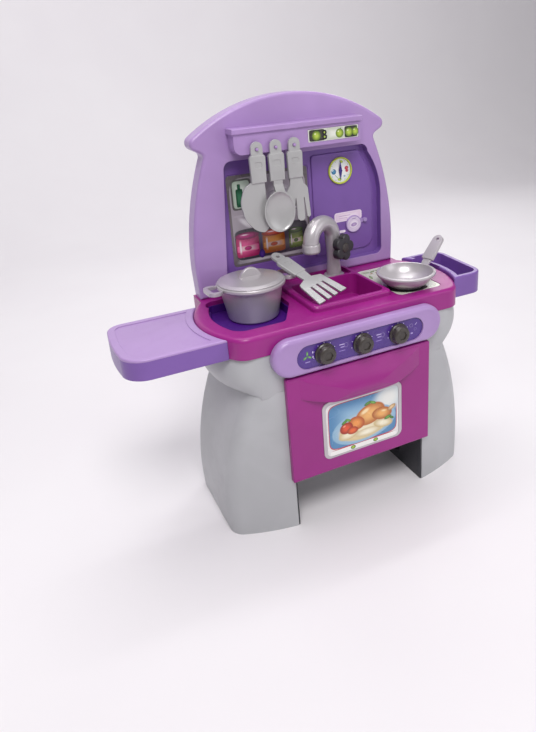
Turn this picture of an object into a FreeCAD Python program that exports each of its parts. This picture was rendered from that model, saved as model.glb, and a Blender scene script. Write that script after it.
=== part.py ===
"""Toy kitchen: moulded cabinet with oven, worktop, sink, hob, splashback, tray, basket and cookware.

Everything is modelled in the cabinet's own frame, in millimetres: X = 0 is the cabinet's middle, -Y is the
front, Z = 0 is the floor. Each sub-part's Placement then carries it to the row frame, whose origin is the
middle of the whole toy's footprint.
"""
import FreeCAD, Part
import math
import os
import re

import Sketcher

V = FreeCAD.Vector
OUT = "parts"

DIMENSIONS = {
    # overall
    "total_height": 720, "wall": 3, "gap": 0.4, "left_reach": 380, "right_reach": 303,
    "front_reach": 159.5, "back_reach": 112,
    # legs: each a hollow shell that swells towards the floor under a bracket for the worktop
    "leg_inner": 132, "leg_front": -130, "leg_back": 88, "leg_floor_x": 244,
    "leg_waist_z": 274, "leg_swell": 530, "leg_corner": 30, "bracket_low": 280, "bracket_under": 14,
    # worktop
    "top_z": 381, "top_low": 345, "top_front": -130, "top_corner": 30, "end_radius": 162, "end_centre_x": 78,
    "end_centre_y": -25, "top_back": 112, "edge_round": 7,
    "sink_top": 391, "sink_x0": -52, "sink_x1": 82, "sink_y0": -88, "sink_y1": 22, "sink_rim": 9,
    "sink_floor": 352, "tap_ledge": 384,
    "dish_x0": -75, "dish_y0": -98, "dish_y1": 60, "dish_floor": 358, "dish_rim": 377,
    "hob_x0": 100, "hob_x1": 190, "hob_y0": -106, "hob_y1": 46,
    # oven
    "panel_thick": 3, "oven_floor_z": 107, "floor_front": -129.6, "rear_low": 92,
    "door_half": 139, "door_low": 98, "door_high": 298, "door_back": -130.5, "door_thick": 10,
    "window_x": 79, "window_low": 125, "window_high": 237,
    "grip_half": 116, "grip_out": 16, "grip_arc": 404, "pin_radius": 1.5, "knuckle_radius": 3.6,
    "knuckle_x": 92, "knuckle_long": 22,
    # control panel and knobs
    "fascia_half": 161, "fascia_low": 302, "fascia_high": 367, "fascia_front": -147,
    "fascia_back": -130.4, "scale_half": 121, "scale_low": 311, "scale_high": 353, "scale_deep": 3,
    "knob_pitch": 70, "knob_z": 331, "knob_radius": 18, "knob_tip": 11.5, "knob_long": 18,
    "shaft_radius": 4,
    # splashback
    "back_front": 75, "back_thick": 34, "arch_radius": 310, "ear_tip": 187, "ear_radius": 12,
    "notch_x": 174.3, "notch_z": 627.8, "notch_radius": 8, "side_radius": 531, "hip_x": 204,
    "hip_z": 430, "foot_x": 202, "back_deep": 15,
    "niche_x0": -149, "niche_x1": 178, "niche_low": 400, "niche_high": 617,
    "picture_x0": -128, "picture_x1": 30, "picture_low": 424, "picture_high": 590,
    "board_x0": 38, "board_x1": 166, "board_low": 414, "board_high": 606, "board_out": 3,
    "clock_x": 97, "clock_z": 572, "clock_radius": 25,
    # shelf with utensil pegs
    "shelf_half": 121, "shelf_low": 628, "shelf_high": 671, "shelf_front": 47, "shelf_lip": 9,
    "peg_pitch": 34.5, "peg_x": -85, "peg_z": 636, "peg_radius": 2.6, "peg_long": 13,
    # tray and basket
    "tray_front": -108, "tray_back": 58, "tray_low": 344, "tray_high": 378,
    "basket_front": -98, "basket_back": 60, "basket_wall": 9, "basket_floor": 349,
    "basket_dip": 8,
    # tap
    "tap_x": 54, "tap_y": 47.5, "tap_column": 12.5, "tap_pipe": 14.5, "tap_reach": 60, "tap_straight": 78,
    "tap_flange": 19.5, "nozzle_radius": 16.5, "nozzle_long": 17, "tap_turn": 22, "petal_pitch": 15,
    "petal_radius": 10.5, "petal_thick": 12, "tap_handle_z": 443,
    # cookware
    "pot_x": -129, "pot_y": 8, "pot_radius": 56, "pot_base": 45, "pot_high": 66, "pot_wall": 2.5,
    "pan_x": 140, "pan_y": -66, "pan_radius": 49.5, "pan_base": 33, "pan_high": 26, "pan_turn": 14,
    "tool_handle": 29, "tool_thick": 6, "blade_thick": 3, "hang_y": 40,
    "decal": 0.5,
}

doc = FreeCAD.newDocument("ToyKitchen")
dims = doc.addObject("Spreadsheet::Sheet", "Dims")
for line_no, (alias, value) in enumerate(DIMENSIONS.items(), start=1):
    dims.set(f"A{line_no}", alias)
    dims.set(f"B{line_no}", str(value))
    dims.setAlias(f"B{line_no}", alias)
doc.recompute()

finished = {}


# ---------------------------------------------------------------- formulas, sketches and features
def formula(text):
    """The spreadsheet formula for a size written with bare dimension names, such as "door_half + 2"."""
    return re.sub(r"[a-z_][a-z_0-9]*",
                  lambda m: "Dims." + m.group() if m.group() in DIMENSIONS else m.group(), str(text))


def size(text):
    """The present value of a formula."""
    return float(dims.evalExpression(formula(text)))


def bind(thing, **formulas):
    """Ties properties to formulas. Placement coordinates are given as x, y and z."""
    for name, text in formulas.items():
        path = f"Placement.Base.{name}" if name in "xyz" else name
        thing.setExpression(path, formula(text))
    return thing


def arc_centre(start, end, radius, turn):
    """Centre of the short arc from start to end, turning left (turn 1) or right (turn -1)."""
    chord = end - start
    rise = math.sqrt(max(radius ** 2 - (chord.Length / 2) ** 2, 0))
    left = V(-chord.y, chord.x, 0).normalize()
    return (start + end) / 2 + left * rise * turn


def draw(sketch, outline):
    """Draws a closed outline of (x, y) or (x, y, radius, turn) corners; the latter start an arc.

    Every coordinate and radius is a constraint that follows its formula. An outline given as
    ("circle", x, y, radius) is one circle.
    """
    rules, sizes = [], {}

    def fixed(kind, geometry, point, text, name):
        where = (geometry, point) if point else (geometry,)
        if re.search("[a-z]", str(text)):
            sizes[len(rules)] = (name, text)
        rules.append(Sketcher.Constraint(kind, *where, size(text)))

    def apply():
        sketch.addConstraint(rules)
        for index, (name, text) in sizes.items():
            sketch.renameConstraint(index, name)
            sketch.setExpression(f"Constraints.{name}", formula(text))

    if outline[0] == "circle":
        _, x, y, radius = outline
        sketch.addGeometry(Part.Circle(V(size(x), size(y), 0), V(0, 0, 1), size(radius)))
        fixed("Radius", 0, None, radius, "radius")
        fixed("DistanceX", 0, 3, x, "x0")
        fixed("DistanceY", 0, 3, y, "y0")
        apply()
        return
    corners = [V(size(c[0]), size(c[1]), 0) for c in outline]
    curves, first = [], []
    for i, corner in enumerate(outline):
        start, end = corners[i], corners[(i + 1) % len(corners)]
        if len(corner) == 2:
            curves.append(Part.LineSegment(start, end))
            first.append((1, 2))
            continue
        radius, turn = size(corner[2]), corner[3]
        centre = arc_centre(start, end, radius, turn)
        low, high = (start, end) if turn > 0 else (end, start)
        angles = [math.atan2(p.y - centre.y, p.x - centre.x) for p in (low, high)]
        curves.append(Part.ArcOfCircle(Part.Circle(centre, V(0, 0, 1), radius), *angles))
        first.append((1, 2) if turn > 0 else (2, 1))
    sketch.addGeometry(curves)
    count = len(outline)
    for i in range(count):
        following = (i + 1) % count
        rules.append(Sketcher.Constraint("Coincident", i, first[i][1], following, first[following][0]))
    for i, corner in enumerate(outline):
        fixed("DistanceX", i, first[i][0], corner[0], f"x{i}")
        fixed("DistanceY", i, first[i][0], corner[1], f"y{i}")
        if len(corner) > 2:
            fixed("Radius", i, None, corner[2], f"r{i}")
    apply()


def rounded_rect(x0, y0, x1, y1, radius):
    """Outline of a rectangle with rounded corners; x0 < x1 and y0 < y1."""
    r = f"({radius})"
    return [(f"{x0}+{r}", y0), (f"{x1}-{r}", y0, radius, 1), (x1, f"{y0}+{r}"), (x1, f"{y1}-{r}", radius, 1),
            (f"{x1}-{r}", y1), (f"{x0}+{r}", y1, radius, 1), (x0, f"{y1}-{r}"), (x0, f"{y0}+{r}", radius, 1)]


def rect(x0, y0, x1, y1):
    return [(x0, y0), (x1, y0), (x1, y1), (x0, y1)]


class Piece:
    """A PartDesign body that grows by pads, pockets, revolutions, patterns and fillets."""

    SIDES = {"XY": ("", 1), "XZ": ("-", -1), "YZ": ("", 1)}

    def __init__(self, name):
        self.name = name
        self.body = doc.addObject("PartDesign::Body", name)
        self.steps = 0

    def sketch(self, plane, start, outline):
        self.steps += 1
        sketch = self.body.newObject("Sketcher::SketchObject", f"{self.name}_sketch_{self.steps}")
        support = [f for f in self.body.Origin.OriginFeatures if f.Role == f"{plane}_Plane"][0]
        sketch.AttachmentSupport = [(support, "")]
        sketch.MapMode = "FlatFace"
        sketch.setExpression("AttachmentOffset.Base.z", formula(f"{self.SIDES[plane][0]}({start})"))
        draw(sketch, outline)
        doc.recompute()
        return sketch

    def grow(self, kind, plane, start, outline, length, toward):
        sketch = self.sketch(plane, start, outline)
        before = self.body.Shape.Volume if self.body.Tip else 0
        feature = self.body.newObject(kind, f"{self.name}_step_{self.steps}")
        feature.Profile = sketch
        feature.setExpression("Length", formula(length))
        feature.Reversed = toward < 0
        doc.recompute()
        if abs(self.body.Shape.Volume - before) < 1e-3:
            raise RuntimeError(f"{self.name}: step {self.steps} changed nothing")
        return self

    def pad(self, plane, start, outline, length):
        """Adds material from start towards the plane's positive axis."""
        return self.grow("PartDesign::Pad", plane, start, outline, length, self.SIDES[plane][1])

    def pocket(self, plane, start, outline, length):
        """Cuts from start towards the plane's positive axis."""
        return self.grow("PartDesign::Pocket", plane, start, outline, length, -self.SIDES[plane][1])

    def revolve(self, outline, kind="PartDesign::Revolution"):
        """Turns a half section, drawn in the XZ plane, about Z."""
        sketch = self.sketch("XZ", "0", outline)
        feature = self.body.newObject(kind, f"{self.name}_step_{self.steps}")
        feature.Profile = sketch
        feature.ReferenceAxis = (sketch, ["V_Axis"])
        feature.Angle = 360
        doc.recompute()
        return self

    def pattern(self, count):
        """Repeats the last step about Z."""
        last = self.body.Tip
        ring = self.body.newObject("PartDesign::PolarPattern", f"{self.name}_ring_{self.steps}")
        ring.Originals = [last]
        ring.Axis = ([f for f in self.body.Origin.OriginFeatures if f.Role == "Z_Axis"][0], [""])
        ring.Angle = 360
        ring.Occurrences = count
        self.body.Tip = ring
        doc.recompute()
        return self

    def fillet(self, radius, chosen, kind="PartDesign::Fillet"):
        """Rounds the edges for which chosen(edge) is true; a chamfer if kind says so."""
        tip = self.body.Tip
        names = [f"Edge{i + 1}" for i, e in enumerate(tip.Shape.Edges) if chosen(e)]
        if not names:
            raise RuntimeError(f"{self.name}: no edges to round")
        self.steps += 1
        feature = self.body.newObject(kind, f"{self.name}_round_{self.steps}")
        feature.Base = (tip, names)
        feature.setExpression("Radius" if kind.endswith("Fillet") else "Size", formula(radius))
        doc.recompute()
        if "Invalid" in feature.State or not feature.Shape.isValid():
            raise RuntimeError(f"{self.name}: rounding {radius} failed on {names}")
        return self

    def done(self, **place):
        return finish(self.name, self.body, **place)


def finish(label, thing, x="0", y="0", z="0", turn=None):
    """Names a finished sub-part and places it: its own position, then the shift to the row frame."""
    thing.Label = label
    if turn is not None:
        thing.Placement = FreeCAD.Placement(V(0, 0, 0), turn)
    bind(thing, x=f"({x}) + (left_reach - right_reach) / 2",
         y=f"({y}) + (front_reach - back_reach) / 2", z=z)
    finished[label] = thing
    return thing


# ---------------------------------------------------------------- Part primitives and booleans
def box(name, x0, y0, z0, x1, y1, z1):
    thing = doc.addObject("Part::Box", name)
    return bind(thing, x=x0, y=y0, z=z0, Length=f"({x1})-({x0})", Width=f"({y1})-({y0})",
                Height=f"({z1})-({z0})")


FRONTWARD = FreeCAD.Rotation(V(1, 0, 0), 90)
BACKWARD = FreeCAD.Rotation(V(1, 0, 0), -90)
DOWNWARD = FreeCAD.Rotation(V(1, 0, 0), 180)
TAP_TURN = FreeCAD.Rotation(V(0, 0, 1), size("tap_turn"))
TAP_FRONT = TAP_TURN.multiply(FRONTWARD)
POT_TURN = FreeCAD.Rotation(V(0, 0, 1), 4)
PAN_TURN = FreeCAD.Rotation(V(0, 0, 1), size("pan_turn"))
LEAN = FreeCAD.Rotation(V(0.93, 0.36, 0.12), V(-0.3553, 0.8627, 0.36), V(0, 0, 1), "YXZ")
TURNS = {"X": FreeCAD.Rotation(V(0, 1, 0), 90), "Y": FreeCAD.Rotation(V(1, 0, 0), -90),
         "Z": FreeCAD.Rotation()}


def cylinder(name, x, y, z, radius, length, axis="Z"):
    thing = doc.addObject("Part::Cylinder", name)
    thing.Placement = FreeCAD.Placement(V(0, 0, 0), TURNS[axis])
    return bind(thing, x=x, y=y, z=z, Radius=radius, Height=length)


SKETCH_TURNS = {"X": FreeCAD.Rotation(V(1, 1, 1), 120), "Y": FreeCAD.Rotation(V(1, 0, 0), 90),
                "Z": FreeCAD.Rotation()}


def prism(name, outline, start, end, axis="Z"):
    """An outline extruded along an axis. The outline's x and y are X and Y, X and Z, or Y and Z."""
    sketch = doc.addObject("Sketcher::SketchObject", name + "_outline")
    draw(sketch, outline)
    sketch.Placement = FreeCAD.Placement(V(0, 0, 0), SKETCH_TURNS[axis])
    bind(sketch, **{axis.lower(): start})
    doc.recompute()
    thing = doc.addObject("Part::Extrusion", name)
    thing.Base = sketch
    thing.DirMode = "Custom"
    thing.Dir = {"X": V(1, 0, 0), "Y": V(0, 1, 0), "Z": V(0, 0, 1)}[axis]
    thing.Solid = True
    return bind(thing, LengthFwd=f"({end})-({start})")


def loft(name, sections):
    """A solid through plan outlines, given as (height, outline)."""
    sketches = []
    for i, (height, outline) in enumerate(sections):
        sketch = doc.addObject("Sketcher::SketchObject", f"{name}_section_{i}")
        draw(sketch, outline)
        sketches.append(bind(sketch, z=height))
    doc.recompute()
    thing = doc.addObject("Part::Loft", name)
    thing.Sections = sketches
    thing.Solid = True
    return thing


def fuse(name, *things):
    thing = doc.addObject("Part::MultiFuse", name)
    thing.Shapes = list(things)
    thing.Refine = True
    doc.recompute()
    return thing


def cut(name, base, *tools):
    tool = tools[0] if len(tools) == 1 else fuse(name + "_tools", *tools)
    thing = doc.addObject("Part::Cut", name)
    thing.Base, thing.Tool = base, tool
    thing.Refine = True
    doc.recompute()
    return thing


def common(name, base, tool):
    thing = doc.addObject("Part::Common", name)
    thing.Base, thing.Tool = base, tool
    thing.Refine = True
    doc.recompute()
    return thing


# A mirror image of a placed sub-part already carries that sub-part's shift, turned over in X.
IMAGE_SHIFT = ("(left_reach - right_reach) / 2", "-(front_reach - back_reach) / 2")


def mirrored(name, source):
    """The same thing on the other side of the cabinet's middle."""
    thing = doc.addObject("Part::Mirroring", name)
    thing.Source = source
    thing.Normal = V(1, 0, 0)
    doc.recompute()
    return thing


def rounded(name, base, radius, chosen):
    """Part::Fillet on the edges for which chosen(edge) is true."""
    doc.recompute()
    thing = doc.addObject("Part::Fillet", name)
    thing.Base = base
    value = size(radius)
    thing.Edges = [(i + 1, value, value) for i, e in enumerate(base.Shape.Edges) if chosen(e)]
    doc.recompute()
    if not thing.Shape.isValid() or thing.Shape.isNull():
        raise RuntimeError(f"{name}: rounding failed")
    return thing


def edge_box(edge):
    b = edge.BoundBox
    return b.XMin, b.XMax, b.YMin, b.YMax, b.ZMin, b.ZMax


def lies_at(**limits):
    """A chooser of edges that lie flat at a height or depth, such as lies_at(z="top_z")."""
    values = {axis: size(text) for axis, text in limits.items()}

    def chosen(edge):
        b = edge.BoundBox
        spans = {"x": (b.XMin, b.XMax), "y": (b.YMin, b.YMax), "z": (b.ZMin, b.ZMax)}
        return all(abs(spans[a][0] - v) < 0.01 and abs(spans[a][1] - v) < 0.01 for a, v in values.items())
    return chosen


# ---------------------------------------------------------------- legs
def leg_section(outer_x, inset="0"):
    """Plan of a leg at the height where its side stands at outer_x; inset gives the inside of its wall."""
    x = f"({outer_x}-{inset})"
    u = f"({x}-19.3-leg_inner)"
    front = f"(leg_front+{inset}+0.16*{u}+{u}^2/800)"
    return [("leg_inner", "leg_back-" + inset), ("leg_inner", "leg_front+" + inset, "400", 1),
            (f"{x}-19.3", front, "leg_corner", 1), (x, f"{front}+28"),
            (x, "leg_back-26", "24", 1), (f"{x}-24", "leg_back-" + inset)]


def leg_side_x(z):
    """The leg's side swells on one large arc between the waist and the floor."""
    return (f"(leg_floor_x+1.8-leg_swell+sqrt(leg_swell^2-({z}-44)^2))")


def bracket_section(inset):
    """Plan of the bracket under the worktop, following the worktop's round end."""
    r = f"(end_radius-{inset})"
    end_x = lambda y: f"(end_centre_x+sqrt({r}^2-({y}-end_centre_y)^2))"
    return [("leg_inner", f"leg_back-({inset})/3"), ("leg_inner", f"leg_front+0.4+({inset}-5)/14"),
            ("leg_inner+44", f"leg_front+1+({inset})/5", "45", 1), (end_x("-102"), "-102", r, 1),
            (end_x("70"), "70", "30", 1), (f"{end_x('70')}-20", f"leg_back-({inset})/3")]


def build_legs():
    heights = ["0", "60", "130", "200", "leg_waist_z"]
    lower = loft("leg_outside", [(z, leg_section(leg_side_x(z))) for z in heights])
    upper = loft("bracket_outside", [("bracket_low-bracket_under", bracket_section("34")),
                                     ("bracket_low+10", bracket_section("9")),
                                     ("top_low", bracket_section("5"))])
    outside = fuse("leg_solid", lower, upper)
    inner_heights = ["wall", "60", "130", "200", "leg_waist_z"]
    lower_in = loft("leg_inside", [(z, leg_section(leg_side_x(z), "wall")) for z in inner_heights])
    upper_in = loft("bracket_inside", [("bracket_low-bracket_under", bracket_section("37")),
                                       ("bracket_low+11", bracket_section("12")),
                                       ("top_low-wall", bracket_section("8"))])
    shell = cut("leg_shell", outside, fuse("leg_hollow", lower_in, upper_in))
    return shell


def build_cabinet():
    right = build_legs()
    holes = [cylinder(f"leg_hole_{i}", "leg_inner+16", "leg_back-wall-2", z, "1.7", "wall+4", "Y")
             for i, z in enumerate(["120", "225", "325"])]
    holes += [cylinder(f"leg_top_hole_{i}", "leg_inner+38", y, "top_low-wall-1", "1.7", "wall+2")
              for i, y in enumerate(["-95", "62"])]
    right = cut("right_leg_drilled", right, *holes)
    left = mirrored("left_leg_drilled", right)
    finish("right_leg", right)
    finish("left_leg", left, *IMAGE_SHIFT)

    panel = Piece("right_inner_panel")
    panel.pad("XY", "gap", rect("leg_inner-panel_thick", "leg_front+1", "leg_inner", "leg_back-1"),
              "top_low-1-gap")
    panel.pocket("YZ", "leg_inner-panel_thick", rounded_rect("-60", "20", "60", "80", "12"), "panel_thick")
    panel.done()
    finish("left_inner_panel", mirrored("left_inner_panel", panel.body), *IMAGE_SHIFT)

    rear = Piece("rear_panel")
    rear.pad("XZ", "leg_back", rounded_rect("-leg_inner-32", "rear_low", "leg_inner+32", "top_low-1", "8"),
             "wall")
    for side in ("-", ""):
        for z in ("120", "225", "325"):
            rear.pocket("XZ", "leg_back", ("circle", f"{side}(leg_inner+16)", z, "1.7"), "wall")
    for row in range(4):
        rear.pocket("XZ", "leg_back", rounded_rect("-45", f"250+{row}*16", "45", f"256+{row}*16", "2.9"),
                    "wall")
    rear.fillet("1", lies_at(y="leg_back+wall"))
    rear.done()

    floor = Piece("oven_floor")
    inner = "(leg_inner-panel_thick-gap/2)"
    floor.pad("XY", "oven_floor_z-wall", rect("-" + inner, "floor_front", inner, "leg_back-gap"), "wall")
    floor.pad("XZ", "floor_front", rect("-" + inner, "oven_floor_z-14", inner, "oven_floor_z-wall"), "wall")
    hinge_y, hinge_z = "(door_back-door_thick/2)", "(door_low+door_thick/2)"
    for side in ("-", ""):
        middle = f"{side}knuckle_x"
        start = f"{middle}-knuckle_long/2"
        low, high = f"{hinge_z}-knuckle_radius", f"{hinge_z}+knuckle_radius"
        floor.pad("YZ", start, [(hinge_y, low), ("floor_front", low), ("floor_front", f"{hinge_z}+1.5"),
                                ("floor_front-2", high), (hinge_y, high, "knuckle_radius*1.01", 1)],
                  "knuckle_long")
        floor.pocket("YZ", start, ("circle", hinge_y, hinge_z, "pin_radius+0.08"), "knuckle_long")
    floor.done()


# ---------------------------------------------------------------- worktop
def worktop_outline(inset="0"):
    inset = f"({inset})"
    r, corner = f"(end_radius-{inset})", f"(top_corner-{inset})"
    reach, drop = "(end_radius-top_corner)", "(end_centre_y-top_front-top_corner)"
    run = f"sqrt({reach}^2-{drop}^2)"
    corner_x = f"(end_centre_x+{run})"
    meet_x, meet_y = f"(end_centre_x+{run}*{r}/{reach})", f"(end_centre_y-{drop}*{r}/{reach})"
    end_x = f"(end_centre_x+sqrt({r}^2-(74-end_centre_y)^2))"
    front, back = f"top_front+{inset}", f"top_back-{inset}"
    return [("-" + corner_x, front), (corner_x, front, corner, 1), (meet_x, meet_y, r, 1), (end_x, "74"),
            (f"foot_x+4-{inset}", "84"), (f"foot_x+4-{inset}", back),
            (f"-foot_x-4+{inset}", back), (f"-foot_x-4+{inset}", "84"),
            ("-" + end_x, "74", r, 1), ("-" + meet_x, meet_y, corner, 1)]


def dish_outline(inset="0"):
    """The D-shaped recess left of the sink: its left side runs with the worktop's round end."""
    inset = f"({inset})"
    r = f"(end_radius-26-{inset})"
    end_x = lambda y: f"-(end_centre_x+sqrt({r}^2-({y}-end_centre_y)^2))"
    right, low, high = f"dish_x0-{inset}", f"dish_y0+{inset}", f"dish_y1-{inset}"
    return [("-182", low), (f"{right}-46", low, "14", 1), (f"{right}-34", low + "+8"),
            (f"{right}-4", "-34", "30", 1), (right, "-20"), (right, high + "-12", "12", 1),
            (f"{right}-12", high), ("-190", high, "22", 1),
            (end_x("30"), "30", r, 1), (end_x("-74"), "-74", "30", 1)]


def build_worktop():
    slab = prism("worktop_slab", worktop_outline(), "top_low", "top_z")
    rim = prism("sink_frame", rounded_rect("sink_x0-sink_rim", "sink_y0-sink_rim", "sink_x1+sink_rim",
                                           "back_front-gap", "10"), "top_z-1", "sink_top")
    rim = rounded("sink_frame_round", rim, "5", lies_at(z="sink_top"))
    slab = rounded("worktop_round", slab, "edge_round",
                   lambda e: edge_box(e)[4] > size("top_z") - 0.01 and edge_box(e)[3] < 75)
    solid = fuse("worktop_solid", slab, rim)
    sink = prism("sink_bowl", rounded_rect("sink_x0", "sink_y0", "sink_x1", "sink_y1", "14"), "sink_floor",
                 "sink_top+1")
    ledge = prism("tap_ledge_cut", rounded_rect("sink_x0", "sink_y1+4.5", "sink_x1", "back_front-7", "8"),
                  "tap_ledge", "sink_top+1")
    dish = prism("dish_cut", dish_outline(), "dish_floor-2", "top_z+1")
    hob = prism("hob_cut", rounded_rect("hob_x0-1", "hob_y0-1", "hob_x1+1", "hob_y1+1", "12"), "top_z-1",
                "top_z+1")
    hollow = prism("worktop_hollow", worktop_outline("wall"), "top_low-1", "top_z-wall-0.5")
    around_sink = box("around_sink", "sink_x0-wall", "sink_y0-wall", "sink_floor-wall", "sink_x1+wall",
                      "sink_y1+wall", "top_z")
    around_dish = prism("around_dish", dish_outline("-3"), "dish_floor-2-wall", "top_z")
    bosses = [cylinder(f"worktop_boss_{i}", x, y, "top_low", "5", "top_z-wall-top_low")
              for i, (x, y) in enumerate([("-leg_inner-38", "-95"), ("leg_inner+38", "-95"),
                                          ("-leg_inner-38", "62"), ("leg_inner+38", "62")])]
    pilots = [cylinder(f"worktop_pilot_{i}", x, y, "top_low-1", "1.3", "12")
              for i, (x, y) in enumerate([("-leg_inner-38", "-95"), ("leg_inner+38", "-95"),
                                          ("-leg_inner-38", "62"), ("leg_inner+38", "62")])]
    feet = [cylinder(f"splashback_hole_{i}", x, "back_front+20", "top_z-wall-2", "1.7", "wall+3")
            for i, x in enumerate(["-150", "-60", "60", "150"])]
    sides = [cylinder(f"tray_hole_{i}", x, y, "top_low+12", "1.7", "16", "X")
             for i, (x, y) in enumerate([("-242", "-60"), ("-242", "20"), ("226", "-60"), ("226", "20")])]
    tap = cylinder("tap_hole", "tap_x", "tap_y", "top_z-20", "9.6", "40")
    inside = cut("worktop_inside", hollow, around_sink, around_dish, *bosses)
    finish("worktop", cut("worktop_cut", solid, inside, sink, ledge, dish, hob, tap, *pilots, *feet, *sides))

    plate = prism("dish_plate", dish_outline("gap"), "dish_floor-2", "dish_rim-4")
    bowl = prism("dish_bowl", dish_outline("gap+2"), "dish_floor", "dish_rim")
    finish("pot_dish", cut("dish_shell", plate, bowl))

    decal = Piece("hob_sticker")
    decal.pad("XY", "top_z-1", rounded_rect("hob_x0", "hob_y0", "hob_x1", "hob_y1", "11"), "decal")
    decal.done()


# ---------------------------------------------------------------- splashback
def splashback_outline(inset="0"):
    """Front view: an arch with two ears over sides that swell to the hips. Every arc is tangent."""
    inset = f"({inset})"
    arch, side, ear, notch = (f"(arch_radius-{inset})", f"(side_radius-{inset})", f"(ear_radius-{inset})",
                              f"(notch_radius+{inset})")
    crown = "(total_height-arch_radius)"
    ear_x = "(ear_tip-ear_radius)"
    ear_rise = f"sqrt((arch_radius-ear_radius)^2-{ear_x}^2)"
    ear_z = f"({crown}+{ear_rise})"
    shoulder_x = f"({ear_x}*{arch}/(arch_radius-ear_radius))"
    shoulder_z = f"({crown}+{ear_rise}*{arch}/(arch_radius-ear_radius))"
    under_x, under_z = f"({ear_x}+{ear}*0.5)", f"({ear_z}-{ear}*0.866)"
    lip_x, lip_z = f"(notch_x-{notch}*0.5)", f"(notch_z+{notch}*0.866)"
    neck_x, neck_z = f"(notch_x-{notch}*0.93)", f"(notch_z-{notch}*0.367)"
    hip_x, foot_x, low = f"(hip_x-{inset})", f"(foot_x-{inset})", f"(top_z+{inset})"
    return [("-" + foot_x, low), (foot_x, low), (hip_x, "hip_z", side, 1),
            (neck_x, neck_z, notch, -1), (lip_x, lip_z), (under_x, under_z, ear, 1),
            (shoulder_x, shoulder_z, arch, 1), ("-" + shoulder_x, shoulder_z, ear, 1),
            ("-" + under_x, under_z), ("-" + lip_x, lip_z, notch, -1), ("-" + neck_x, neck_z, side, 1),
            ("-" + hip_x, "hip_z")]


def niche_outline(grow="0"):
    """The sunken middle of the splashback; its right side leans in with the splashback's own side."""
    x0, x1 = f"(niche_x0-{grow})", f"(niche_x1+{grow})"
    low, high = f"(niche_low-{grow})", f"(niche_high+{grow})"
    return [(x0 + "+12", low), (x1 + "-12", low, "12", 1), (x1, low + "+12"), (x1, "510", "150", 1),
            (x1 + "-27", high + "-14", "14", 1), (x1 + "-41", high), (x0 + "+28", high, "14", 1),
            (x0 + "+15", high + "-14"), (x0, low + "+12", "12", 1)]


COVER_SCREWS = [("-foot_x+15", "410"), ("foot_x-15", "410"), ("-140", "638"), ("140", "638")]
FOOT_SCREWS = ["-150", "-60", "60", "150"]


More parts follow.
